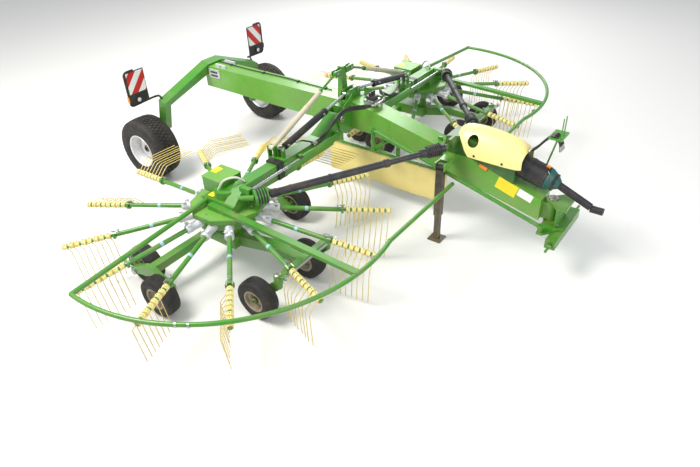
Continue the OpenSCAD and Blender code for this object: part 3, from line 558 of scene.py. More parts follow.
class Piece:
    """One object while it is made: points, faces and a finish for each face."""

    def __init__(self, name: str, layout: Layout, side: Side = Side.LEFT) -> None:
        """Starts an empty piece.

        Args:
            name: The object's name.
            layout: The frame's joints.
            side: The half of the machine on which it stands.
        """
        self.name = name
        self.layout = layout
        self.side = side
        self.points: list[Vector] = []
        self.faces: list[list[int]] = []
        self.picks: list[int] = []
        self.finishes: list[Finish] = []

    def add(self, points: list, faces: list, finish: Finish, place: Matrix | None = None) -> None:
        """Adds faces.

        Args:
            points: Their corners.
            faces: Lists of places in points.
            finish: Their finish.
            place: Where they stand, if not as written.
        """
        if finish not in self.finishes:
            self.finishes.append(finish)
        pick, base = self.finishes.index(finish), len(self.points)
        move = place or Matrix()
        self.points += [move @ Vector(p) for p in points]
        for face in faces:
            self.faces.append([base + i for i in face])
            self.picks.append(pick)

    def revolve(self, profile: list[Flat], finish: Finish, place: Matrix | None = None,
                steps: int = 24, closed: bool = False) -> None:
        """Adds a turned form.

        Args:
            profile: Radius and height of each ring.
            finish: Its finish.
            place: Where its axis stands.
            steps: Facets round the axis.
            closed: Whether the last ring joins the first.
        """
        rings = [(r * math.cos(math.tau * k / steps), r * math.sin(math.tau * k / steps), z)
                 for r, z in profile for k in range(steps)]
        count = len(profile)
        faces = [(i * steps + k, i * steps + (k + 1) % steps,
                  (i + 1) % count * steps + (k + 1) % steps, (i + 1) % count * steps + k)
                 for i in range(count if closed else count - 1) for k in range(steps)]
        if not closed:
            faces += [tuple(range(steps)), tuple((count - 1) * steps + k for k in range(steps))]
        self.add(rings, faces, finish, place)

    def rod(self, start: Point, end: Point, radius: float, finish: Finish, steps: int = 16) -> None:
        """Adds a straight bar with a small chamfer at both ends.

        Args:
            start: One end of its axis.
            end: The other end.
            radius: Its radius.
            finish: Its finish.
            steps: Facets round it.
        """
        way = Vector(end) - Vector(start)
        cut = min(radius * 0.15, way.length * 0.2)
        self.revolve([(radius - cut, 0), (radius, cut), (radius, way.length - cut),
                      (radius - cut, way.length)], finish, turn(way, start), steps)

    def tube(self, path: list, radius: float, finish: Finish, sides: int = 10) -> None:
        """Adds a round bar along a path.

        Args:
            path: The points that its centre follows.
            radius: Its radius.
            finish: Its finish.
            sides: Facets round it.
        """
        path = [Vector(p) for p in path]
        ways = [(b - a).normalized() for a, b in zip(path, path[1:])]
        ways = [ways[0]] + [(a + b).normalized() for a, b in zip(ways, ways[1:])] + [ways[-1]]
        across = ways[0].orthogonal().normalized()
        rings = []
        for point, way in zip(path, ways):
            across = (across - way * across.dot(way)).normalized()
            other = way.cross(across)
            rings += [point + across * (radius * math.cos(math.tau * k / sides))
                      + other * (radius * math.sin(math.tau * k / sides)) for k in range(sides)]
        count = len(path)
        faces = [(i * sides + k, i * sides + (k + 1) % sides, (i + 1) * sides + (k + 1) % sides,
                  (i + 1) * sides + k) for i in range(count - 1) for k in range(sides)]
        faces += [tuple(range(sides)), tuple((count - 1) * sides + k for k in range(sides))]
        self.add(rings, faces, finish)

    def prism(self, outline: list[Flat], low: float, high: float, finish: Finish,
              plane: Plane = Plane.XZ) -> None:
        """Adds a plate: an outline given a thickness from low to high across its plane.

        Args:
            outline: Corners in the plane.
            low: Where it starts across the plane.
            high: Where it ends.
            finish: Its finish.
            plane: The plane.
        """
        count = len(outline)
        points = [plane.lift(a, b, depth) for depth in (low, high) for a, b in outline]
        faces = [(i, (i + 1) % count, (i + 1) % count + count, i + count) for i in range(count)]
        self.add(points, faces + [tuple(range(count)), tuple(range(count, 2 * count))], finish)

    def block(self, low: Point, high: Point, finish: Finish, place: Matrix | None = None) -> None:
        """Adds a box between two corners.

        Args:
            low: The corner with the lowest coordinates.
            high: The opposite corner.
            finish: Its finish.
            place: Where it stands, if not as written.
        """
        (x0, y0, z0), (x1, y1, z1) = low, high
        points = [(x, y, z) for z in (z0, z1) for x, y in ((x0, y0), (x1, y0), (x1, y1), (x0, y1))]
        faces = [(0, 1, 2, 3), (4, 5, 6, 7)] + [(i, (i + 1) % 4, (i + 1) % 4 + 4, i + 4) for i in range(4)]
        self.add(points, faces, finish, place)

    def bolt(self, at: Point, axis: Point, size: float = 0.012) -> None:
        """Adds a washer and a hexagon head or nut with its thread's end, seated at a point.

        Args:
            at: Its seat.
            axis: The way that its head looks.
            size: The washer's radius.
        """
        place = turn(axis, at)
        washer = [(1.0, 0.0), (1.0, 0.2)]
        head = [(0.82, 0.2), (0.86, 0.8), (0.74, 1.0)]
        thread = [(0.42, 1.0), (0.38, 1.3)]
        for shape, steps in ((washer, 14), (head, 6), (thread, 8)):
            self.revolve([(size * r, size * z) for r, z in shape], ZINC, place, steps)

    def bolt_circle(self, middle: Point, radius: float, count: int, size: float, first: float = 0.0) -> None:
        """Adds upright bolts round a middle, from a first angle in degrees.

        Args:
            middle: The circle's middle.
            radius: Its radius.
            count: How many bolts.
            size: Their size.
            first: Angle of the first in degrees.
        """
        for k in range(count):
            angle = math.radians(first) + math.tau * k / count
            out = Vector((radius * math.cos(angle), radius * math.sin(angle), 0))
            self.bolt(Vector(middle) + out, (0, 0, 1), size)

    def cap(self, at: Point, axis: Point, radius: float, height: float, inset: float = 0.006,
            rise: float = 0.004, steps: int = 20) -> None:
        """Adds a pin's head seated at a point: a disc whose rim is bevelled by inset and rise."""
        self.revolve([(radius, 0), (radius, height), (radius - inset, height + rise)], ZINC,
                     turn(axis, at), steps)

    def collar(self, at: Point, axis: Point, inner: float, outer: float, length: float, cut: float,
               finish: Finish, steps: int = 32) -> None:
        """Adds a ring round a shaft, chamfered from its inner to its outer radius at both ends."""
        self.revolve([(inner, 0), (outer, cut), (outer, length - cut), (inner, length)], finish,
                     turn(axis, at), steps)

    def done(self, body: str | None, bevel: float = 0.0,
             crease: float = 35.0) -> bpy.types.Object:
        """Makes the object, in the row frame and on its side of the machine.

        Args:
            body: The body that it rides on; {side} stands for the side's name. None
                leaves that to the caller.
            bevel: Width of the round on its sharp edges.
            crease: Angle in degrees over which an edge stays sharp.

        Returns:
            The object.
        """
        mesh = bpy.data.meshes.new(self.name)
        mirror = self.side.value
        mesh.from_pydata([(p.x + self.layout.shift, p.y * mirror, p.z) for p in self.points], [], self.faces)
        mesh.polygons.foreach_set("material_index", self.picks)
        work = bmesh.new()
        work.from_mesh(mesh)
        bmesh.ops.recalc_face_normals(work, faces=work.faces)
        work.to_mesh(mesh)
        work.free()
        mesh.polygons.foreach_set("use_smooth", [True] * len(mesh.polygons))
        mesh.set_sharp_from_angle(angle=math.radians(crease))
        for used in self.finishes:
            mesh.materials.append(used.material())
        made = bpy.data.objects.new(self.name, mesh)
        bpy.context.collection.objects.link(made)
        if bevel:
            soften(made, bevel)
        if body:
            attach(made, body.format(side=self.side.tag))
        LOG.info("%s: %d faces", self.name, len(mesh.polygons))
        return made


def soften(made: bpy.types.Object, width: float) -> None:
    """Rounds an object's sharp edges so that they catch the light.

    Args:
        made: The object.
        width: Width of the round.
    """
    bevel = made.modifiers.new("edges", "BEVEL")
    bevel.width = width
    bevel.segments = 2
    bevel.limit_method = "ANGLE"
    bevel.angle_limit = math.radians(40)
    bevel.harden_normals = True


def coat_nodes() -> None:
    """Gives the nodes that are seen in their own form their finishes."""
    for node, (finish, bevel) in COATS.items():
        for name in sorted({node.format(side=side.tag) for side in Side}):
            made = bpy.data.objects[name]
            made.data.materials.clear()
            made.data.materials.append(finish.material())
            if bevel:
                soften(made, bevel)


# Sub-assemblies


@dataclass
class Studio:
    """Camera, lamps and floor."""

    layout: Layout
    eye: Point = (4.3045, -5.5991, 4.1665)
    azimuth: float = 37.01
    elevation: float = 35.18
    roll: float = -2.28
    focal_px: float = 606.33
    floor_half: float = 40.0
    floor_colour: Rgb = (0.74, 0.735, 0.715)
    surround: Rgb = (0.93, 0.96, 1.0)
    surround_strength: float = 0.62
    # Each lamp: name, place in the row frame, side of its square, power and colour
    lamps: tuple[tuple[str, Point, float, float, Rgb], ...] = (
        ("key", (-3.5, -5.0, 8.5), 4.0, 1150.0, (1.0, 0.97, 0.92)),
        ("fill", (8.0, -3.0, 5.0), 6.0, 330.0, (0.95, 0.98, 1.0)),
        ("rim", (-4.0, 7.0, 6.0), 5.0, 420.0, (1.0, 1.0, 1.0)))

    def camera(self) -> None:
        """Stands the camera where the photograph was taken from."""
        data = bpy.data.cameras.new("camera")
        data.sensor_width = 36.0
        data.lens = self.focal_px / PHOTO_WIDTH * data.sensor_width
        data.clip_end = 200.0
        made = bpy.data.objects.new("camera", data)
        bpy.context.collection.objects.link(made)
        az, el, roll = (math.radians(a) for a in (self.azimuth, self.elevation, self.roll))
        back = Vector((math.sin(az) * math.cos(el), -math.cos(az) * math.cos(el), math.sin(el)))
        right = Vector((math.cos(az), math.sin(az), 0))
        up = back.cross(right)
        across = right * math.cos(roll) + up * math.sin(roll)
        made.matrix_world = Matrix((across, back.cross(across), back)).transposed().to_4x4()
        made.location = Vector(self.eye) + Vector((self.layout.shift, 0, 0))
        bpy.context.scene.camera = made

    def lamp(self, name: str, at: Point, size: float, power: float, colour: Rgb) -> None:
        """Adds a square lamp that looks at the middle of the machine.

        Args:
            name: Its name.
            at: Its place in the row frame.
            size: Its side.
            power: Its power in watts.
            colour: Its colour.
        """
        data = bpy.data.lights.new(name, "AREA")
        data.size, data.energy, data.color = size, power, colour
        made = bpy.data.objects.new(name, data)
        bpy.context.collection.objects.link(made)
        made.matrix_world = turn(at, at)

    def light(self) -> None:
        """Soft key, fill and a bright, even surround."""
        for lamp in self.lamps:
            self.lamp(*lamp)
        world = bpy.data.worlds.new("surround")
        bpy.context.scene.world = world
        world.use_nodes = True
        background = world.node_tree.nodes["Background"]
        background.inputs["Color"].default_value = (*self.surround, 1.0)
        background.inputs["Strength"].default_value = self.surround_strength

    def floor(self) -> None:
        """A plain pale floor."""
        graph = Graph("floor")
        graph.set(Base_Color=self.floor_colour, Roughness=0.85)
        half = self.floor_half
        mesh = bpy.data.meshes.new("floor")
        corners = [(-half, -half, 0), (half, -half, 0), (half, half, 0), (-half, half, 0)]
        mesh.from_pydata(corners, [], [(0, 1, 2, 3)])
        mesh.materials.append(graph.material)
        made = bpy.data.objects.new("floor", mesh)
        bpy.context.collection.objects.link(made)

    def build(self) -> None:
        """Sets up everything round the machine."""
        self.camera()
        self.light()
        self.floor()
        bpy.context.scene.view_settings.view_transform = "Standard"


@dataclass
class Wheel:
    """A pneumatic wheel: tyre with its tread, dished rim, hub and bolts."""

    layout: Layout
    node: str
    joint: str
    side: Side
    radius: float
    width: float
    rim_radius: float
    tread: Tread
    rim: Finish
    tread_depth: float = 0.011
    rows: int = 6
    blocks: int = 52
    ribs: int = 5
    bolts: int = 6
    # How far the tread's top stays inside the radius, and how deep its foot is sunk in the carcass
    inset: float = 0.0008
    sunk: float = 0.012

    @property
    def hub_radius(self) -> float:
        """Radius from which the hub's parts are sized."""
        return max(0.05, self.rim_radius * 0.36)

    @property
    def dish(self) -> float:
        """How far the disc stands out from the wheel's middle."""
        return 0.10 * self.width / 2

    def tyre(self, piece: Piece, place: Matrix) -> None:
        """Carcass, with a raised rib at each rim and shoulder.

        Args:
            piece: The object that they join.
            place: The wheel's middle, with Z along its axle to the outer side.
        """
        r, w, rim = self.radius, self.width / 2, self.rim_radius
        wall = r - rim
        crown = r - self.tread_depth
        bead = [(rim + 0.004, 0.82 * w), (rim + 0.012, 0.88 * w), (rim + 0.018, 0.86 * w)]
        flank = [(rim + share * wall, reach * w) for share, reach in (
            (0.10, 0.88), (0.25, 0.97), (0.42, 1.0), (0.58, 0.985), (0.60, 0.995), (0.64, 0.975),
            (0.78, 0.93))]
        top = [(crown - 0.05 * wall, 0.85 * w), (crown, 0.74 * w), (crown, 0.3 * w)]
        half = bead + flank + top
        profile = [(a, -b) for a, b in half] + [(a, b) for a, b in reversed(half)]
        piece.revolve(profile, TYRE, place, 72, closed=True)

    def block_tread(self, piece: Piece, place: Matrix) -> None:
        """Rows of small blocks round the crown, each row half a block on from the next.

        Args:
            piece: The object that they join.
            place: The wheel's middle, with Z along its axle to the outer side.
        """
        band = self.width * 0.80
        reach = math.pi * self.radius / self.blocks * 0.72
        half = band / self.rows * 0.40
        faces = [(4, 5, 6, 7), (0, 1, 5, 4), (1, 2, 6, 5), (2, 3, 7, 6), (3, 0, 4, 7)]
        for row in range(self.rows):
            across = (row + 0.5) / self.rows * band - band / 2
            top = self.radius - self.inset - 0.055 * self.width * abs(2 * across / band) ** 3
            base = top - self.tread_depth - self.sunk
            points = [(x, y * long, z * wide) for x, wide, long in ((base, 1.05, 1.0), (top, 0.9, 0.88))
                      for y, z in ((-reach, -half), (reach, -half), (reach, half), (-reach, half))]
            points = [(math.sqrt(max(x * x - y * y, 0)), y, z + across) for x, y, z in points]
            for i in range(self.blocks):
                angle = math.tau * (i + 0.5 * (row % 2)) / self.blocks
                piece.add(points, faces, TYRE, place @ Matrix.Rotation(angle, 4, "Z"))

    def rib_tread(self, piece: Piece, place: Matrix) -> None:
        """Rounded ribs that run round the crown, nicked by short cuts.

        Args:
            piece: The object that they join.
            place: The wheel's middle, with Z along its axle to the outer side.
        """
        band = self.width * 0.74
        for i in range(self.ribs):
            middle = (i + 0.5) / self.ribs * band - band / 2
            half = band / self.ribs * 0.36
            top = self.radius - self.inset - 0.05 * self.width * abs(2 * middle / band) ** 3
            low = self.radius - self.tread_depth - self.sunk
            left = [(low, -1.2), (top - 0.002, -1.0), (top, -0.7)]
            right = [(r, -share) for r, share in reversed(left)]
            piece.revolve([(r, middle + half * share) for r, share in left + right], TYRE, place, 72,
                          closed=True)

    def rim_disc(self, piece: Piece, place: Matrix) -> None:
        """Well, rim edges and the disc, set in from the outer side.

        Args:
            piece: The object that they join.
            place: The wheel's middle, with Z along its axle to the outer side.
        """
        rim, w = self.rim_radius, self.width / 2
        well = [(0.012, 0.88), (0.004, 0.92), (-0.008, 0.86), (-0.012, 0.5), (-0.035, 0.3)]
        inside = [(0.0, 0.5), (-0.028, 0.3)]
        profile = [(rim + r, -share * w) for r, share in well]
        profile += [(rim + r, share * w) for r, share in reversed(well)]
        profile += [(rim + r, share * w) for r, share in inside]
        profile += [(rim + r, -share * w) for r, share in reversed(inside)]
        piece.revolve(profile, self.rim, place, 56, closed=True)
        hub, dish = self.hub_radius, self.dish
        front = [(hub * 0.5, 0.0), (hub * 1.25, 0.0), (hub * 1.5, 0.012), (rim - 0.07, 0.028),
                 (rim - 0.034, -0.004)]
        back = [(rim - 0.034, -0.012), (rim - 0.075, 0.018), (hub * 1.5, 0.0), (hub * 1.25, -0.012),
                (hub * 0.5, -0.012)]
        piece.revolve([(r, dish + z) for r, z in front + back], self.rim, place, 48, closed=True)

    def hub(self, piece: Piece, place: Matrix) -> None:
        """Hub with its cap, wheel bolts and the valve.

        Args:
            piece: The object that they join.
            place: The wheel's middle, with Z along its axle to the outer side.
        """
        hub, dish = self.hub_radius, self.dish
        bore = 0.026 if self.rim_radius > 0.15 else 0.0156
        # Hubs of the rib-tread wheels take the painted-shade copy of the green
        piece.revolve([(bore, -dish - 0.07), (hub * 0.8, -dish - 0.07), (hub * 0.8, dish + 0.016),
                       (hub * 0.62, dish + 0.02), (hub * 0.62, dish + 0.05), (hub * 0.5, dish + 0.062),
                       (bore, dish + 0.062)],
                      LEAF_PAINTED_SHADE if self.tread is Tread.RIB else DARK_STEEL, place, 28, closed=True)
        outwards = place.to_3x3() @ Vector((0, 0, 1))
        for i in range(self.bolts):
            angle = math.tau * (i + 0.5) / self.bolts
            spot = place @ Vector((hub * 1.08 * math.cos(angle), hub * 1.08 * math.sin(angle), dish))
            piece.bolt(spot, outwards, hub * 0.15)
        valve = place @ Vector((self.rim_radius - 0.06, 0, dish + 0.02))
        piece.rod(valve, place @ Vector((self.rim_radius - 0.075, 0, dish + 0.055)), 0.004, ZINC, 8)

    def build(self) -> None:
        """Makes the wheel and lets it stand for its plain solid."""
        piece = Piece(self.node + "_look", self.layout, self.side)
        outer = 1 if self.node.startswith(("rear", "castor", "tandem_wheel_b")) else -1
        place = turn((0, outer, 0), self.layout.at(self.joint))
        self.tyre(piece, place)
        if self.tread is Tread.BLOCK:
            self.block_tread(piece, place)
        else:
            self.rib_tread(piece, place)
        self.rim_disc(piece, place)
        self.hub(piece, place)
        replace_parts(piece.done(self.node), self.node)


@dataclass
class Rotor:
    """Arms with cast sockets and the sprung tines that they carry."""

    layout: Layout
    side: Side
    arms: int = 13
    first: float = 17.8
    cam: Flat = (170.0, 275.0)
    root: Flat = (0.390, 0.700)
    end: Flat = (1.720, 0.580)
    tine_first: float = 1.260
    tines: int = 8
    wire: float = 0.0045
    coil: float = 0.0285
    shank: float = 0.150
    length: float = 0.430
    kink: float = 42.0
    lean: float = 4.0
    tube: float = 0.025

    @property
    def slope(self) -> float:
        """Angle at which an arm falls to its end."""
        return math.atan2(self.root[1] - self.end[1], self.end[0] - self.root[0])

    def lift(self, arm: int) -> float:
        """Angle by which the cam has swung an arm's tines up.

        Args:
            arm: The arm's number.

        Returns:
            The angle in degrees.
        """
        pitch = 360 / self.arms
        angle = (self.first + arm * pitch) % 360
        if self.cam[0] < angle < self.cam[1]:
            return 90.0
        return 45.0 if self.cam[0] - pitch < angle <= self.cam[0] else 0.0

    def frame(self, arm: int) -> Matrix:
        """The place of an arm's root, with X along the arm.

        Args:
            arm: The arm's number.

        Returns:
            The place in machine axes.
        """
        centre = self.layout.at(f"rotor_turn_{self.side.tag}")
        turned = Matrix.Rotation(math.radians(self.first + arm * 360 / self.arms), 4, "Z")
        root = Matrix.Translation((self.root[0], 0, self.root[1]))
        return Matrix.Translation((0, centre.y, 0)) @ turned @ root @ Matrix.Rotation(self.slope, 4, "Y")

    def along(self, radius: float) -> float:
        """Distance along an arm of a radius about the rotor's axis."""
        return (radius - self.root[0]) / math.cos(self.slope)

    def socket(self, piece: Piece, place: Matrix) -> None:
        """Cast socket with its clamp lug, bolts and grease nipple.

        Args:
            piece: The object that they join.
            place: The arm's root, with X along the arm.
        """
        x = place @ turn((1, 0, 0))
        piece.revolve([(0.0428, -0.055), (0.0505, -0.045), (0.0505, -0.01), (0.0445, 0.005), (0.0435, 0.075),
                       (0.049, 0.085), (0.049, 0.135), (0.044, 0.145)], CAST, x, 20)
        for y in (-0.03, 0.03):
            piece.block((0.09, y - 0.012, 0.036), (0.125, y + 0.012, 0.062), CAST, place)
        piece.bolt(place @ Vector((0.1075, 0.042, 0.052)), place.to_3x3() @ Vector((0, 1, 0)), 0.010)
        piece.rod(place @ Vector((0.03, 0, 0.04)), place @ Vector((0.03, 0, 0.056)), 0.004, ZINC, 8)

    def coupling(self, piece: Piece, place: Matrix) -> None:
        """Plug-in joint of an arm with its linch pin and ring.

        Args:
            piece: The object that they join.
            place: The arm's root, with X along the arm.
        """
        x = self.along(self.tine_first - 0.060)
        for y in (-0.0286, 0.0286):
            start, end = Vector((x - 0.03, y, 0.034)), Vector((x + 0.028, y, 0.034))
            piece.rod(place @ start, place @ end, 0.006, ZINC, 8)
        pin, ring_r = x - 0.055, 0.019
        piece.rod(place @ Vector((pin, 0, 0.02)), place @ Vector((pin, 0, 0.058)), 0.006, STEEL, 10)
        ring = [place @ Vector((pin - ring_r * math.sin(a), ring_r * math.cos(a), 0.052))
                for a in (math.tau * k / 14 for k in range(14))]
        piece.tube(ring, 0.0022, STEEL, 6)

    def arm_details(self) -> None:
        """Sockets, bands and couplings of all arms."""
        piece = Piece(f"arm_fittings_{self.side.tag}", self.layout, self.side)
        for arm in range(self.arms):
            place = self.frame(arm)
            self.socket(piece, place)
            self.coupling(piece, place)
            band = place @ turn((1, 0, 0), (self.along(0.80), 0, 0))
            skin, face = self.tube + 0.0004, self.tube + 0.0012
            piece.revolve([(skin, 0), (face, 0.001), (face, 0.034), (skin, 0.035)], BAND_BLUE, band, 16)
            tip = place @ turn((1, 0, 0), (self.along(self.end[0]) - 0.012, 0, 0))
            plug = [(0.012, 0.006), (0.0205, 0.006), (0.0205, -0.004), (0.012, -0.004)]
            piece.revolve(plug, DARK_STEEL, tip, 16)
        piece.done("rotor_{side}")

    def finger(self, piece: Piece, place: Matrix, hand: int) -> None:
        """One sprung wire with the coil that it comes out of.

        Args:
            piece: The object that they join.
            place: Where its block stands, with X along the arm.
            hand: Side to which the coil winds, 1 or -1.
        """
        kink = math.radians(self.kink)
        spiral = [(hand * (0.010 + 0.0046 * k / 8), self.coil * math.cos(math.tau * k / 16),
                   self.coil * math.sin(math.tau * k / 16)) for k in range(30)]
        piece.tube([place @ Vector(p) for p in spiral], self.wire, WIRE, 6)
        start = (0.022, 0.022)
        corner = (start[0] + self.shank * math.cos(kink), start[1] + self.shank * math.sin(kink))
        tip = (corner[0] + self.length, corner[1])
        path = bends([(0, 0.008, 0.012), (0, *start), (0, *corner), (0, *tip)], 0.035, 4)
        piece.tube([place @ p for p in path], self.wire, WIRE, 8)

    def holder(self, piece: Piece, place: Matrix) -> None:
        """Moulded block with two flanges, a waist and a clamp ear.

        Args:
            piece: The object that they join.
            place: The block's middle, with X along the arm.
        """
        x = place @ turn((1, 0, 0))
        flange = [(0.0204, -0.019), (0.032, -0.019), (0.034, -0.017), (0.034, -0.010), (0.0275, -0.006)]
        flange += [(r, -z) for r, z in reversed(flange)]
        piece.revolve(flange, TINE_BLOCK, x, 12, closed=True)
        piece.block((-0.015, -0.036, -0.014), (0.015, -0.020, 0.014), TINE_BLOCK, place)
        piece.bolt(place @ Vector((0, -0.036, 0)), place.to_3x3() @ Vector((0, -1, 0)), 0.007)

    def tine_sets(self) -> None:
        """All tines of the rotor, in place of the plain ones."""
        piece = Piece(f"sprung_tines_{self.side.tag}", self.layout, self.side)
        step = (self.end[0] - 0.030 - self.tine_first) / (self.tines - 1)
        for arm in range(self.arms):
            place, lift = self.frame(arm), self.lift(arm)
            for k in range(self.tines):
                spot = place @ Matrix.Translation((self.along(self.tine_first + k * step), 0, 0))
                wobble = 1.4 * noise.noise(Vector((arm * 1.7, k * 2.3, 0.5)))
                swing = lift - 90 - self.lean * (1 - lift / 90) + wobble
                turned = spot @ Matrix.Rotation(math.radians(swing), 4, "X")
                self.finger(piece, turned, 1 if k % 2 else -1)
                self.holder(piece, turned)
        made = piece.done("rotor_{side}")
        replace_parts(made, f"tines_{self.side.tag}")

    def build(self) -> None:
        """Dresses the rotor."""
        self.arm_details()
        self.tine_sets()


@dataclass
class Curtain:
    """The swath curtain: one hung sheet with hems, a seam and small folds."""

    layout: Layout
    cut: float = 0.20
    corner: float = 0.15
    columns: int = 90
    rows: int = 34
    fold: float = 0.010
    thick: float = 0.003
    hems: tuple[float, ...] = (0.012, 0.045, 0.975)
    eyelets: int = 12

    def surface(self, u: float, v: float, low: Vector, high: Vector) -> Point:
        """The cloth's middle at shares u along and v down.

        Args:
            u: Share of the length, from the rear end.
            v: Share of the drop.
            low: The lowest corner of the curtain's box.
            high: The highest corner.

        Returns:
            The point in machine axes.
        """
        x = low.x + u * (high.x - low.x)
        foot = low.z + max(0.0, (x - (high.x - self.corner)) / self.corner) * self.cut
        wave = math.sin(x * 9.0 + 1.3) * 0.6 + math.sin(x * 21.0 + 0.4) * 0.25
        wave += noise.noise(Vector((x * 3, v * 2, 0)))
        return x, self.fold * v ** 1.2 * wave, high.z + v * (foot - high.z)

    def build(self) -> None:
        """Makes the cloth and its hems."""
        shift = Vector((self.layout.shift, 0, 0))
        low, high = (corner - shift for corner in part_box("curtain"))
        piece = Piece("curtain_sheet", self.layout)
        grid = [self.surface(i / self.columns, j / self.rows, low, high)
                for j in range(self.rows + 1) for i in range(self.columns + 1)]
        wide = self.columns + 1
        faces = [(j * wide + i, j * wide + i + 1, (j + 1) * wide + i + 1, (j + 1) * wide + i)
                 for j in range(self.rows) for i in range(self.columns)]
        piece.add(grid, faces, CLOTH)
        made = piece.done("frame", crease=180)
        solid = made.modifiers.new("thickness", "SOLIDIFY")
        solid.thickness, solid.offset = self.thick, 0.0
        hems = Piece("curtain_hems", self.layout)
        for v in self.hems:
            for s in (-1, 1):
                seam = Vector((0, s * 0.0022, 0))
                path = [Vector(self.surface(i / 80, v, low, high)) + seam for i in range(1, 80)]
                hems.tube(path, 0.0011, CLOTH, 5)
        for i in range(self.eyelets):
            eyelet = turn((0, 1, 0), self.surface((i + 0.5) / self.eyelets, 0.03, low, high))
            hems.revolve([(0.004, -0.005), (0.010, -0.005), (0.010, 0.005), (0.004, 0.005)], ZINC, eyelet, 12)
        hemmed = hems.done("frame")
        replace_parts(made, "curtain")


@dataclass
class MainFrame:
    """Beam, console, post, axle and what is fixed to them."""

    layout: Layout
    half: float = 0.130
    top: float = 1.28
    rear: float = -2.2
    neck: Flat = (1.85, 1.0)
    neck_run: float = 0.85
    neck_fall: float = 0.27
    plate_low: Flat = (-2.16, 1.13)
    plate_high: Flat = (-1.95, 1.255)
    plate_thick: float = 0.008
    clips: tuple[float, ...] = (-1.9, -1.3, -0.7, -0.25)
    lug: float = 0.09
    lug_half: float = 0.012
    valve: Flat = (0.42, 0.56)
    valve_top: float = 1.33
    taps: tuple[float, ...] = (-0.045, 0.0, 0.045)

    def neck_place(self, x: float) -> Matrix:
        """A place on the near face of the front beam, at its top, with X along the beam.

        Args:
            x: How far forward it is.

        Returns:
            The place in machine axes.
        """
        top = self.neck[1] - (x - self.neck[0]) / self.neck_run * self.neck_fall
        slope = math.atan2(self.neck_fall, self.neck_run)
        return Matrix.Translation((x, -self.half, top)) @ Matrix.Rotation(slope, 4, "Y")

    def neck_plates(self, piece: Piece) -> None:
        """Two blank plates and a reflector in its rim, on the near face of the front beam.

        Args:
            piece: The object that they join.
        """
        flip = Matrix.Scale(-1, 4, (0, 1, 0))
        for at, start, end, low, high, thick, finish in (
                (2.22, 0.0, 0.24, -0.155, -0.010, 0.0015, YELLOW),
                (2.22, 0.25, 0.42, -0.100, -0.010, 0.0015, WHITE),
                (1.98, 0.0, 0.10, -0.035, 0.005, 0.012, AMBER),
                (1.98, -0.006, 0.106, -0.041, 0.011, 0.004, BLACK)):
            piece.block((start, -thick, low), (end, 0.0, high), finish, flip @ self.neck_place(at))

    def rear_plate(self, piece: Piece) -> None:
        """The plate near the beam's rear end, with two pads and a bolt in each corner.

        Args:
            piece: The object that they join.
        """
        (left, low), (right, high) = self.plate_low, self.plate_high
        face = self.half + self.plate_thick
        piece.block((left, self.half, low), (right, face, high), CAST)
        for z in (low + 0.035, high - 0.040):
            piece.tube([(x, face + 0.0005, z) for x in (left + 0.045, right - 0.045)], 0.012, BLACK, 12)
        for x in (left + 0.015, right - 0.015):
            for z in (low + 0.013, high - 0.013):
                piece.bolt((x, face, z), (0, 1, 0), 0.008)

    def plates(self) -> None:
        """What is fixed to both faces of the beam."""
        for side in Side:
            piece = Piece(f"beam_plates_{side.tag}", self.layout, side)
            if side is Side.RIGHT:
                self.neck_plates(piece)
            self.rear_plate(piece)
            piece.done("frame", bevel=0.002)

    def beam_trim(self) -> None:
        """Seams, the rear cable, its clips and the end lugs."""
        piece = Piece("beam_trim", self.layout)
        # The seams take the beam's pale green, which is partly painted sunlight
        for y in (-self.half, self.half):
            for start, end in (((self.rear, y, 1.2795), (0.38, y, 1.2795)),
                               ((self.rear, y, 0.991), (-0.1, y, 0.965))):
                piece.tube([start, end], 0.003, BEAM_GREEN_AND_PAINTED_LIGHT, 6)
        route = [(x, 0.062 + 0.008 * math.sin(x * 5), 1.289) for x in [-2.15 + 0.2 * k for k in range(11)]]
        piece.tube(flow(route, 4), 0.007, HOSE, 8)
        for x in self.clips:
            piece.block((x - 0.01, 0.04, self.top), (x + 0.01, 0.085, 1.298), BLACK)
        for s in (-1, 1):
            y, half = self.lug * s, self.lug_half
            piece.block((-2.05, y - half, self.top), (-1.86, y + half, 1.325), CAST)
            piece.bolt((-1.95, y + s * half, 1.305), (0, s, 0), 0.012)
        piece.done("frame")

    def console_trim(self) -> None:
        """Caps of the hinge's, the cylinder's and the strut's pins, and the console's gusset."""
        hinge = self.layout.at("arm_lift_left")
        for side in Side:
            piece = Piece(f"console_trim_{side.tag}", self.layout, side)
            for s in (-1, 1):
                out = Vector((s, 0, 0))
                piece.revolve([(0.042, 0), (0.044, 0.003), (0.044, 0.012), (0.038, 0.016)], ZINC,
                              turn(out, hinge + out * 0.114), 24)
                piece.bolt(hinge + out * 0.130, out, 0.014)
            for pin, half, radius, height in ((LIFT_EYE, 0.049, 0.026, 0.010),
                                              (STRUT_EYE, 0.033, 0.022, 0.008)):
                for s in (-1, 1):
                    piece.cap((pin[0] + s * half, pin[1], pin[2]), (s, 0, 0), radius, height)
            gusset = [(self.half, self.top), (0.30, self.top), (0.30, 1.30), (0.20, 1.35), (self.half, 1.40)]
            piece.prism(gusset, 0.285, 0.297, LEAF, Plane.YZ)
            piece.done("frame", bevel=0.0015)

    def hydraulics(self) -> None:
        """Valve block on the beam with its fittings."""
        piece = Piece("valve_block", self.layout)
        (rear, front), top, cap = self.valve, self.valve_top, self.valve_top + 0.045
        middle = (rear + front) / 2
        piece.block((rear, -0.075, self.top - 0.01), (front, 0.075, top), STEEL)
        piece.block((rear + 0.02, -0.055, top), (front - 0.02, 0.055, cap), DARK_STEEL)
        for y in self.taps:
            piece.rod((front, y, 1.30), (front + 0.04, y, 1.30), 0.014, ZINC, 12)
            piece.rod((middle, y, cap), (middle, y, cap + 0.045), 0.013, BLACK, 12)
        piece.done("frame", bevel=0.002)

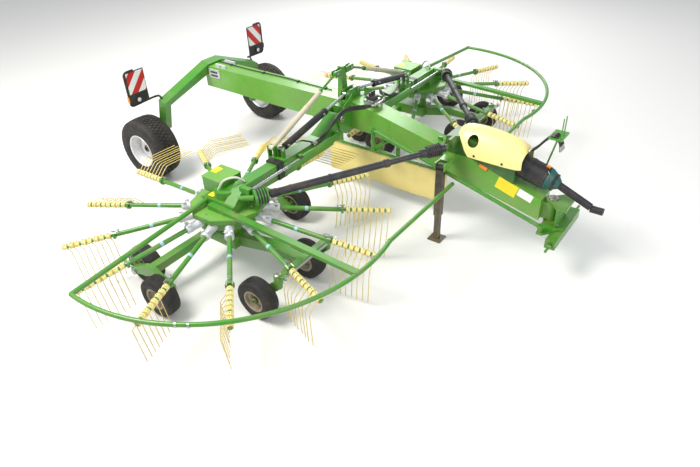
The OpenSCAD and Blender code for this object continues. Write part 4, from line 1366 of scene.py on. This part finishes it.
    def build(self) -> None:
        """Dresses the fixed frame."""
        self.plates()
        self.beam_trim()
        self.console_trim()
        self.hydraulics()


@dataclass
class WarningBoards:
    """Striped boards held in bent tubes, with a lamp and a reflector on each."""

    layout: Layout
    inner: float = 0.985
    outer: float = 1.255
    low: float = 1.035
    striped: float = 1.185
    high: float = 1.465
    front: float = -2.455
    thick: float = 0.014
    stripe: float = 0.111
    lean: float = 0.243
    rim: float = 0.008
    tube: float = 0.0145
    lamp: Flat = (1.145, 1.095)
    reflector: Flat = (1.095, 1.165)

    def stripes(self, piece: Piece, x: float) -> None:
        """Slanting red and white bands on one face, clipped to the board.

        Args:
            piece: The object that they join.
            x: How far forward the face is.
        """
        first = (self.inner + self.outer) / 2
        for k in range(-3, 5):
            start = first + k * self.stripe
            band = clip([(start, self.striped), (start + self.stripe, self.striped),
                         (start + self.stripe - self.lean, self.high), (start - self.lean, self.high)],
                        self.inner, self.outer)
            if len(band) > 2:
                piece.add([(x, y, z) for y, z in band], [tuple(range(len(band)))], WHITE if k % 2 else RED)

    def board(self, side: Side) -> bpy.types.Object:
        """One board with its tube, which is bent round it and down to the axle's elbow.

        Args:
            side: Its side of the machine.

        Returns:
            The board.
        """
        piece = Piece(f"board_{side.tag}", self.layout, side)
        back = self.front - self.thick
        piece.block((back, self.inner - self.rim, self.low),
                    (self.front, self.outer + self.rim, self.high + self.rim), BLACK)
        for x in (self.front + 0.0008, back - 0.0008):
            self.stripes(piece, x)
        middle, edge = self.front - self.thick / 2, self.outer + 0.021
        stay = [(middle, 1.13, self.high + 0.018), (middle, edge, self.high + 0.018),
                (middle, edge, self.low - 0.006), (middle, 0.905, self.low + 0.006),
                (-2.350, 0.878, 1.082), (-2.325, 0.872, 0.98)]
        piece.tube(bends(stay, 0.055), self.tube, BLACK, 12)
        lamp = turn((1, 0, 0), (self.front, *self.lamp))
        piece.revolve([(0.036, 0), (0.038, 0.01), (0.032, 0.02)], BLACK, lamp, 24)
        piece.revolve([(0.030, 0.012), (0.027, 0.022), (0.012, 0.028)], CLEAR_LENS, lamp, 24)
        low, high = self.reflector
        piece.block((middle - 0.012, edge + 0.011, low), (middle + 0.020, edge + 0.022, high), AMBER)
        return piece.done("frame")

    def build(self) -> None:
        """Makes both boards."""
        for side in Side:
            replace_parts(self.board(side), "warning_boards")


def clip(band: list[Flat], left: float, right: float) -> list[Flat]:
    """Cuts a convex outline to the strip between two uprights.

    Args:
        band: The outline.
        left: Lowest first coordinate kept.
        right: Highest first coordinate kept.

    Returns:
        The outline inside the strip.
    """
    for edge, sign in ((left, 1), (right, -1)):
        kept = []
        for a, b in zip(band, band[1:] + band[:1]):
            inside, next_inside = sign * (a[0] - edge) >= 0, sign * (b[0] - edge) >= 0
            if inside:
                kept.append(a)
            if inside != next_inside:
                share = (edge - a[0]) / (b[0] - a[0])
                kept.append((edge, a[1] + share * (b[1] - a[1])))
        band = kept
        if not band:
            return []
    return band


@dataclass
class Driveline:
    """Guarded shafts: the input at the front and one to each rotor."""

    layout: Layout
    inner: Point = (1.660, 0.330, 1.150)
    outer: Point = (0.450, 1.950, 0.980)
    # Each collar's distance from the inner end and its length
    collars: tuple[Flat, ...] = ((0.645, 0.06), (1.28, 0.03), (1.86, 0.07))
    cup_turn: float = 122.5
    cup_ribs: tuple[float, ...] = (0.012, 0.040, 0.068, 0.096)
    drum_start: Point = (2.385, 0, 1.010)
    drum_end: Point = (2.680, 0, 0.930)
    drum_ribs: tuple[float, ...] = (0.02, 0.10, 0.12, 0.26)

    def bellows(self, piece: Piece, start: Point, way: Vector, length: float, low: float, high: float,
                folds: int) -> None:
        """A corrugated guard of that length, its folds between two radii.

        Args:
            piece: The object that they join.
            start: Where it starts.
            way: Its direction.
            length: Its length.
            low: The folds' inner radius.
            high: Their outer radius.
            folds: How many folds.
        """
        profile = [(low, 0.0)]
        for k in range(folds):
            at = (k + 0.5) / folds * length
            reach = high - (high - low) * 0.35 * k / folds
            valley = low + 0.25 * (reach - low)
            profile += [(radius, at + share * length / folds) for radius, share in (
                (valley, -0.36), (reach, -0.12), (reach, 0.12), (valley, 0.36))]
        profile.append((low, length))
        piece.revolve(profile, BLACK, turn(way, start), 32)

    def side_shaft(self, side: Side) -> None:
        """Bellows, collars and the sliding guard of one rotor's shaft.

        Args:
            side: The rotor's side.
        """
        start, end = Vector(self.inner), Vector(self.outer)
        way = (end - start).normalized()
        piece = Piece(f"shaft_bellows_{side.tag}", self.layout, side)
        self.bellows(piece, start + way * 0.062, way, 0.165, 0.0565, 0.072, 7)
        piece.revolve([(0.050, 0.0), (0.050, 0.05), (0.042, 0.075), (0.033, 0.08)], BLACK,
                      turn(way, start + way * 0.225), 32)
        piece.done(f"shaft_tube_{side.tag}")
        sleeve = Piece(f"shaft_collars_{side.tag}", self.layout, side)
        for at, long in self.collars:
            sleeve.collar(start + way * at, way, 0.040, 0.046, long, 0.004, BLACK)
        sleeve.done(f"shaft_sleeve_{side.tag}")
        cup = Piece(f"shaft_cup_{side.tag}", self.layout, side)
        angle = math.radians(self.cup_turn)
        mouth = Vector((math.cos(angle), math.sin(angle), -0.05)).normalized()
        base = end - mouth * 0.07
        for at in self.cup_ribs:
            cup.collar(base + mouth * at, mouth, 0.0802, 0.087, 0.018, 0.006, BLACK)
        cup.done(f"rotor_head_{side.tag}")

    def input(self) -> None:
        """Ribbed drum, cone and tag of the front shaft."""
        piece = Piece("input_guard", self.layout)
        start, end = Vector(self.drum_start), Vector(self.drum_end)
        way = (end - start).normalized()
        for at in self.drum_ribs:
            piece.collar(start + way * at, way, 0.1252, 0.130, 0.016, 0.004, BLACK, 48)
        cone = [(0.118, 0), (0.121, 0.02), (0.108, 0.045), (0.102, 0.06), (0.086, 0.085), (0.078, 0.105),
                (0.060, 0.125), (0.046, 0.145)]
        piece.revolve(cone, TEAL, turn(way, end + way * 0.002), 40)
        piece.block((2.66, -0.014, 1.055), (2.70, 0.014, 1.075), AMBER)
        tag = [(2.70, -0.06, 1.05), (2.73, -0.085, 1.02), (2.755, -0.10, 0.97)]
        piece.tube(flow(tag), 0.003, ZINC, 6)
        piece.done("frame")

    def build(self) -> None:
        """Makes all the shafts' guards."""
        for side in Side:
            self.side_shaft(side)
        self.input()


@dataclass
class Hood:
    """Moulded cover over the gearbox: rounded across and drawn in at both ends."""

    layout: Layout
    wall: float = 0.006
    shoulder: float = 1.12
    lip: float = 0.004
    ribs: int = 10
    hole: Flat = (1.890, 1.212)
    hole_r: float = 0.062
    catches: tuple[Flat, ...] = ((1.93, 1.065), (2.25, 1.06))
    # Each station: place along the machine, lower edge, top and half width
    stations: tuple[tuple[float, float, float, float], ...] = (
        (1.690, 1.228, 1.284, 0.172), (1.725, 1.214, 1.308, 0.186), (1.771, 1.167, 1.322, 0.195),
        (1.812, 1.098, 1.329, 0.199), (1.856, 1.036, 1.333, 0.200), (1.960, 1.032, 1.334, 0.200),
        (2.130, 1.030, 1.320, 0.200), (2.260, 1.029, 1.292, 0.199), (2.350, 1.028, 1.262, 0.194),
        (2.410, 1.027, 1.228, 0.184), (2.450, 1.029, 1.184, 0.168))

    def rib(self, station: tuple, inset: float) -> list[Point]:
        """One rib of the shell, from its left lower edge over the top to the right one.

        Args:
            station: Place along the machine, lower edge, top and half width.
            inset: How far it lies inside the outer face.

        Returns:
            Its points.
        """
        x, low, top, half = station
        rise = top - inset - self.shoulder
        start = max(low + self.lip - self.shoulder, 0.0) / rise
        reach = math.sqrt(1 - min(start, 0.98) ** (4 / 3))
        curve = []
        for k in range(-self.ribs, self.ribs + 1):
            share = reach * math.sin(math.pi / 2 * k / self.ribs)
            height = self.shoulder + rise * max(1 - share * share, 0.0) ** 0.75
            curve.append((x, (half - inset) * share, height))
        return [(x, curve[0][1], low)] + curve + [(x, curve[-1][1], low)]

    def shell(self) -> bpy.types.Object:
        """The moulded shell, open below and at both ends.

        Returns:
            The shell, not yet on a body.
        """
        piece = Piece("hood_shell", self.layout)
        rows = [self.rib(station, inset) for inset in (0.0, self.wall) for station in self.stations]
        count, wide = len(self.stations), len(rows[0])
        inner = count * wide
        cells = [i * wide + j for i in range(count - 1) for j in range(wide - 1)]
        faces = [(skin + c, skin + c + 1, skin + c + wide + 1, skin + c + wide)
                 for skin in (0, inner) for c in cells]
        sides = [(i * wide + j, wide) for j in (0, wide - 1) for i in range(count - 1)]
        ends = [(i * wide + j, 1) for i in (0, count - 1) for j in range(wide - 1)]
        faces += [(c, c + step, inner + c + step, inner + c) for c, step in sides + ends]
        piece.add([point for row in rows for point in row], faces, CREAM)
        return piece.done(None, crease=40)

    def open_sides(self, shell: bpy.types.Object) -> None:
        """Cuts the round opening through both sides of the shell.

        Args:
            shell: The shell, whose mesh is replaced by the opened one.
        """
        work = bmesh.new()
        middle = (self.hole[0] + self.layout.shift, 0, self.hole[1])
        bmesh.ops.create_cone(work, cap_ends=True, segments=40, radius1=self.hole_r, radius2=self.hole_r,
                              depth=0.6, matrix=turn((0, 1, 0), middle))
        mesh = bpy.data.meshes.new("hood_opening")
        work.to_mesh(mesh)
        work.free()
        tool = bpy.data.objects.new("hood_opening", mesh)
        bpy.context.collection.objects.link(tool)
        cut = shell.modifiers.new("opening", "BOOLEAN")
        cut.object, cut.operation, cut.solver = tool, "DIFFERENCE", "EXACT"
        depsgraph = bpy.context.evaluated_depsgraph_get()
        cleared = bpy.data.meshes.new_from_object(shell.evaluated_get(depsgraph))
        shell.modifiers.clear()
        shell.data = cleared
        bpy.data.objects.remove(tool)

    def build(self) -> None:
        """Builds the cover and its fasteners."""
        shell = self.shell()
        self.open_sides(shell)
        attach(shell, "frame")
        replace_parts(shell, "hood")
        for side in Side:
            piece = Piece(f"hood_trim_{side.tag}", self.layout, side)
            for x, z in self.catches:
                catch = turn((0, 1, 0), (x, 0.1998, z))
                piece.revolve([(0.013, 0), (0.013, 0.004), (0.006, 0.006)], BLACK, catch, 16)
            piece.done("frame")


@dataclass
class Hoses:
    """Hydraulic hoses that are fixed at both ends."""

    layout: Layout
    radius: float = 0.0095

    def fitting(self, piece: Piece, at: Point, way: Point) -> None:
        """Crimped end with its nut, from the port outwards.

        Args:
            piece: The object that they join.
            at: The port's face.
            way: The way out of the port.
        """
        place = turn(way, at)
        piece.revolve([(0.013, 0), (0.015, 0.003), (0.015, 0.018), (0.013, 0.02)], ZINC, place, 6)
        piece.revolve([(0.0115, 0.02), (0.0125, 0.024), (0.0125, 0.055), (0.0105, 0.06)], ZINC, place, 14)

    def run(self, name: str, side: Side, body: str | None, points: list[Point], finish: Finish = HOSE,
            radius: float = 0.0) -> bpy.types.Object:
        """One hose through points, with a fitting at both ends.

        Args:
            name: The hose's name, without its side.
            side: Its side of the machine.
            body: The body that it rides on, or None to leave it on no body.
            points: The points that it passes.
            finish: Its finish.
            radius: Its radius, if not the class's own.

        Returns:
            The hose.
        """
        piece = Piece(f"{name}_{side.tag}", self.layout, side)
        path = flow(points)
        piece.tube(path, radius or self.radius, finish, 10)
        for end, following in ((path[0], path[1]), (path[-1], path[-2])):
            self.fitting(piece, end, following - end)
        return piece.done(body)

    def build(self) -> None:
        """Lays the hoses of both halves and the bundle at the front."""
        for side in Side:
            arm = f"swing_arm_{side.tag}"
            for k in range(3):
                rise, x = 0.018 * k, 0.27 + 0.016 * k
                loop = [(0.60, 0.045 * (k - 1) + 0.045, 1.30), (0.52, 0.20, 1.29 + rise),
                        (0.36, 0.36, 1.27 + rise), (0.30, 0.50, 1.17 + rise), (x, 0.72, 1.075),
                        (x, 0.90, 1.062)]
                made = self.run(f"arm_hose_{k}", side, None, loop)
                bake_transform(made)
            self.run("lift_hose", side, arm, [(0.30, 0.86, 1.065), (0.28, 0.95, 1.12), (0.24, 1.02, 1.15),
                                              (0.215, 1.10, 1.165)])
            self.run("head_hose", side, f"rotor_head_{side.tag}",
                     [(0.20, 1.90, 1.045), (0.14, 1.97, 1.11), (0.04, 2.04, 1.08), (-0.03, 2.07, 0.98),
                      (-0.05, 2.09, 0.90)], HOSE_GREY, 0.012)
        for k in range(3):
            y = -0.03 + 0.03 * k
            self.run(f"front_hose_{k}", Side.LEFT, "frame",
                     [(2.43, y, 1.17), (2.52, y, 1.24), (2.62, y * 1.2, 1.37), (2.70, y * 1.3, 1.43),
                      (2.755, y * 1.3, 1.37), (2.78, y * 1.3, 1.28)], radius=0.011)

    def row(self, point: Point, side: Side) -> Point:
        """A machine point in the row frame, on a side."""
        return point[0] + self.layout.shift, point[1] * side.value, point[2]


@dataclass
class SwingArm:
    """Lifting telescopic arm with its cylinders."""

    layout: Layout
    side: Side
    # How far from the cylinder's and the strut's foot their gland, ports, sleeve and wiper are
    gland: float = 0.782
    ports: Flat = (0.09, 0.74)
    sleeve: float = 0.686
    wiper: float = 0.940
    # The guide collar's inner half width, its lower and upper edges, its ends and its walls
    guide: float = 0.076
    guide_low: float = 0.862
    guide_high: float = 1.058
    guide_ends: Flat = (1.372, 1.46)
    guide_wall: float = 0.012

    def cylinders(self) -> None:
        """The lift cylinder's gland and ports, and the strut's inner tube with its wiper."""
        foot = Vector(LIFT_FOOT)
        way = (Vector(LIFT_EYE) - foot).normalized()
        piece = Piece(f"lift_gland_{self.side.tag}", self.layout, self.side)
        piece.revolve([(0.0392, 0), (0.043, 0.003), (0.043, 0.036), (0.036, 0.045), (0.024, 0.048)],
                      BLACK_PAINT, turn(way, foot + way * self.gland), 28)
        for at in self.ports:
            spot = foot + way * at
            piece.rod(spot + Vector((0.036, 0, 0.01)), spot + Vector((0.056, 0, 0.016)), 0.013, ZINC, 12)
        piece.done("lift_barrel_{side}")
        foot = Vector(STRUT_FOOT)
        way = (Vector(STRUT_EYE) - foot).normalized()
        sleeve = Piece(f"strut_sleeve_{self.side.tag}", self.layout, self.side)
        sleeve.revolve([(0.02715, 0), (0.02715, 0.2555), (0.020, 0.262)], BEIGE,
                       turn(way, foot + way * self.sleeve), 56)
        # The wiper is in the painted-shade copy of the green
        sleeve.revolve([(0.0272, 0), (0.0272, 0.018), (0.024, 0.024)], LEAF_PAINTED_SHADE,
                       turn(way, foot + way * self.wiper), 56)
        sleeve.done("strut_rod_{side}")

    def arm(self) -> None:
        """Guide collar with its bolts, pin caps, and the slide cylinder's guard strip and gland."""
        piece = Piece(f"arm_trim_{self.side.tag}", self.layout, self.side)
        middle, wall = LIFT_FOOT[0], self.guide_wall
        (start, end), low, high = self.guide_ends, self.guide_low, self.guide_high
        left, right = middle - self.guide, middle + self.guide
        for x0, x1, z0, z1 in ((left - wall, left, low, high), (right, right + wall, low, high),
                               (left, right, high - wall, high), (left, right, low, low + wall)):
            piece.block((x0, start, z0), (x1, end, z1), BLACK)
        for s in (-1, 1):
            for z in (0.90, 0.96, 1.02):
                piece.bolt((middle + s * 0.091, 1.345, z), (s, 0, 0), 0.011)
        for s in (-1, 1):
            piece.cap((middle + s * 0.036, LIFT_FOOT[1], LIFT_FOOT[2]), (s, 0, 0), 0.024, 0.008)
        strip = [(0.46, 0.985), (1.36, 0.985), (1.36, 1.035), (0.46, 1.035)]
        piece.prism(strip, 0.357, 0.362, LEAF, Plane.YZ)
        for y in (0.50, 1.12):
            piece.block((0.30, y - 0.018, 0.975), (0.357, y + 0.018, 0.985), LEAF)
        piece.revolve([(0.0335, 0), (0.037, 0.004), (0.037, 0.03), (0.022, 0.04)], BLACK_PAINT,
                      turn((0, 1, 0), (0.318, 1.135, 1.010)), 24)
        piece.done("swing_arm_{side}", bevel=0.0015)

    def build(self) -> None:
        """Dresses the arm."""
        self.cylinders()
        self.arm()


@dataclass
class RotorHead:
    """Gear head with its cover, hoop and running gear."""

    layout: Layout
    side: Side
    cover: float = 0.7985
    cover_bolts: float = 0.315
    plate_edges: Flat = (0.135, 0.400)
    # Middle of the upper gear case from the rotor's axis, and radius of its bolts' circle
    upper: Flat = (0.28, 0.08)
    upper_bolts: float = 0.100
    # The slide rod: its place along the machine and its height, its ends across it and its radius
    slide: Flat = (0.318, 1.010)
    slide_ends: Flat = (1.175, 1.94)
    slide_radius: float = 0.0156
    # The case's two corners, from the rotor's axis, and how far its lid stands over it
    case_low: Point = (-0.310, -0.250, 0.858)
    case_high: Point = (-0.020, 0.040, 1.022)
    overhang: float = 0.004
    hoop_middle: Flat = (0.201, 0.137)
    hoop_radius: float = 1.604
    hoop_height: float = 0.75
    hoop_clips: tuple[float, ...] = (-8, 2, 58, 62)
    # Place across the machine of the outer and the inner tandem beam, and half their width
    beams: Flat = (2.905, 1.095)
    beam_half: float = 0.030
    castor_top: float = 0.4965

    @property
    def axis(self) -> float:
        """Place of the rotor's axis across the machine."""
        return self.layout.at(f"rotor_turn_{self.side.tag}").y

    def head(self) -> None:
        """A pale ring laid on the cover as a painted highlight on its top, bolts, blank plates and the
        chromed slide rod.
        """
        piece = Piece(f"head_trim_{self.side.tag}", self.layout, self.side)
        y0, (inner, outer) = self.axis, self.plate_edges
        piece.bolt_circle((0, y0, self.cover), self.cover_bolts, 10, 0.011, 18)
        # Painted highlight: a thin ring in the pale green on the cover's top face
        piece.revolve([(inner, 0), (outer, 0), (outer, 0.003), (inner, 0.003)], BEAM_GREEN_AND_PAINTED_LIGHT,
                      Matrix.Translation((0, y0, self.cover - 0.0005)), 10, closed=True)
        piece.block((-0.302, y0 - 0.19, 1.030), (-0.220, y0 - 0.08, 1.0315), YELLOW)
        piece.block((-0.17, y0 + 0.04, 0.879), (-0.09, y0 + 0.12, 0.8805), YELLOW)
        middle = (self.upper[0], y0 + self.upper[1], self.cover + 0.055)
        piece.bolt_circle(middle, self.upper_bolts, 8, 0.008)
        start, end = ((self.slide[0], y, self.slide[1]) for y in self.slide_ends)
        piece.rod(start, end, self.slide_radius, CHROME, 20)
        piece.done("rotor_head_{side}")

    def box(self) -> None:
        """The closed case beside the gear head, its lid in the pale green as a painted highlight on its top.
        """
        across, over = Vector((0, self.axis, 0)), self.overhang
        low, high = across + Vector(self.case_low), across + Vector(self.case_high)
        case = Piece(f"head_case_{self.side.tag}", self.layout, self.side)
        case.block(low, high, LEAF)
        case.done("rotor_head_{side}", 0.005)
        # Painted highlight: the lid's pale green stands for light falling on the case's top
        lid = Piece(f"head_lid_{self.side.tag}", self.layout, self.side)
        lid.block((low.x - over, low.y - over, high.z - 0.002),
                  (high.x + over, high.y + over, high.z + 0.008), BEAM_GREEN_AND_PAINTED_LIGHT)
        lid.done("rotor_head_{side}", 0.002)

    def hoop(self) -> None:
        """Clamps over the guard hoop's joints."""
        piece = Piece(f"hoop_clips_{self.side.tag}", self.layout, self.side)
        x, y = self.hoop_middle
        for angle in self.hoop_clips:
            a = math.radians(angle)
            spot = (x + self.hoop_radius * math.cos(a), self.axis + y + self.hoop_radius * math.sin(a),
                    self.hoop_height)
            way = (-math.sin(a), math.cos(a), 0)
            piece.collar(spot, way, 0.0228, 0.0252, 0.022, 0.002, STEEL, 20)
        piece.done("rotor_head_{side}")

    def gear(self) -> None:
        """Caps of the tandem axles and caps and nuts of the castors' pins."""
        tag, (outer, inner) = self.side.tag, self.beams
        piece = Piece(f"gear_trim_{tag}", self.layout, self.side)
        for k in "abcd":
            spot = self.layout.at(f"tandem_spin_{k}_{tag}")
            beam = outer if k in "ab" else inner
            out = 1 if spot.y > beam else -1
            end = (spot.x, beam - out * self.beam_half, spot.z)
            piece.cap(end, (0, -out, 0), 0.038, 0.012, 0.008, 0.006)
        piece.done("rotor_head_{side}")
        for which in ("inner", "outer"):
            pin = self.layout.at(f"castor_steer_{which}_{tag}")
            cap = Piece(f"castor_cap_{which}_{tag}", self.layout, self.side)
            cap.cap((pin.x, pin.y, self.castor_top), (0, 0, 1), 0.034, 0.006, 0.012, 0.006)
            cap.bolt((pin.x, pin.y, self.castor_top + 0.0065), (0, 0, 1), 0.016)
            cap.done(f"castor_{which}_{tag}")

    def build(self) -> None:
        """Dresses head, hoop and running gear."""
        self.head()
        self.box()
        self.hoop()
        self.gear()


@dataclass
class Hitch:
    """Trim of the headstock: its pin's cap, bolts, link rings and linch pins."""

    layout: Layout
    pin_top: float = 0.7165
    # Link pins, from the headstock's pin: how far ahead, and their rings' and linch pins' places across
    link_ahead: float = 0.150
    ring: float = 0.392
    linch: float = 0.490

    def build(self) -> None:
        """Dresses the hitch."""
        pin = self.layout.at("headstock_steer")
        piece = Piece("headstock_trim", self.layout)
        piece.cap((pin.x, 0, self.pin_top), (0, 0, 1), 0.052, 0.010, 0.008, 0.006, 32)
        piece.bolt((pin.x, 0, self.pin_top + 0.016), (0, 0, 1), 0.022)
        for y in (-0.130, 0.130):
            for z in (0.50, 0.64):
                piece.bolt((pin.x + 0.115, y, z), (1, 0, 0), 0.013)
        link = pin.x + self.link_ahead
        for s in (-1, 1):
            piece.revolve([(0.016, 0), (0.0282, 0.003), (0.0282, 0.0), (0.016, -0.001)], STEEL,
                          turn((0, s, 0), (link, s * self.ring, 0.400)), 24, closed=True)
            piece.rod((link, s * self.linch, 0.380), (link, s * self.linch, 0.422), 0.004, ZINC, 8)
        piece.done("headstock")


def small_wheels(layout: Layout, side: Side) -> list[Wheel]:
    """The six wheels under one rotor.

    Args:
        layout: The frame's joints.
        side: The rotor's side.

    Returns:
        The wheels, not yet built.
    """
    names = [(f"tandem_wheel_{k}_{side.tag}", f"tandem_spin_{k}_{side.tag}") for k in "abcd"]
    names += [(f"castor_wheel_{k}_{side.tag}", f"castor_spin_{k}_{side.tag}") for k in ("inner", "outer")]
    return [Wheel(layout, node, joint, side, radius=0.220, width=0.170, rim_radius=0.110, tread=Tread.RIB,
                  rim=RIM_WORN, tread_depth=0.006, bolts=4) for node, joint in names]


def main() -> None:
    """Builds the scene."""
    logging.basicConfig(level=logging.INFO, format="%(name)s: %(message)s")
    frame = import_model()
    layout = Layout({j["name"]: j for j in frame["joints"]})
    coat_nodes()
    parts: list = [Studio(layout), MainFrame(layout), WarningBoards(layout), Hood(layout), Driveline(layout),
                   Hitch(layout), Curtain(layout), Hoses(layout)]
    for side in Side:
        parts += [SwingArm(layout, side), RotorHead(layout, side), Rotor(layout, side)]
        parts += small_wheels(layout, side)
        parts.append(Wheel(layout, f"rear_wheel_{side.tag}", f"rear_wheel_spin_{side.tag}", side,
                           radius=0.425, width=0.380, rim_radius=0.216, tread=Tread.BLOCK, rim=RIM))
    for part in parts:
        part.build()
        LOG.info("%s done", type(part).__name__)


if __name__ == "__main__":
    main()
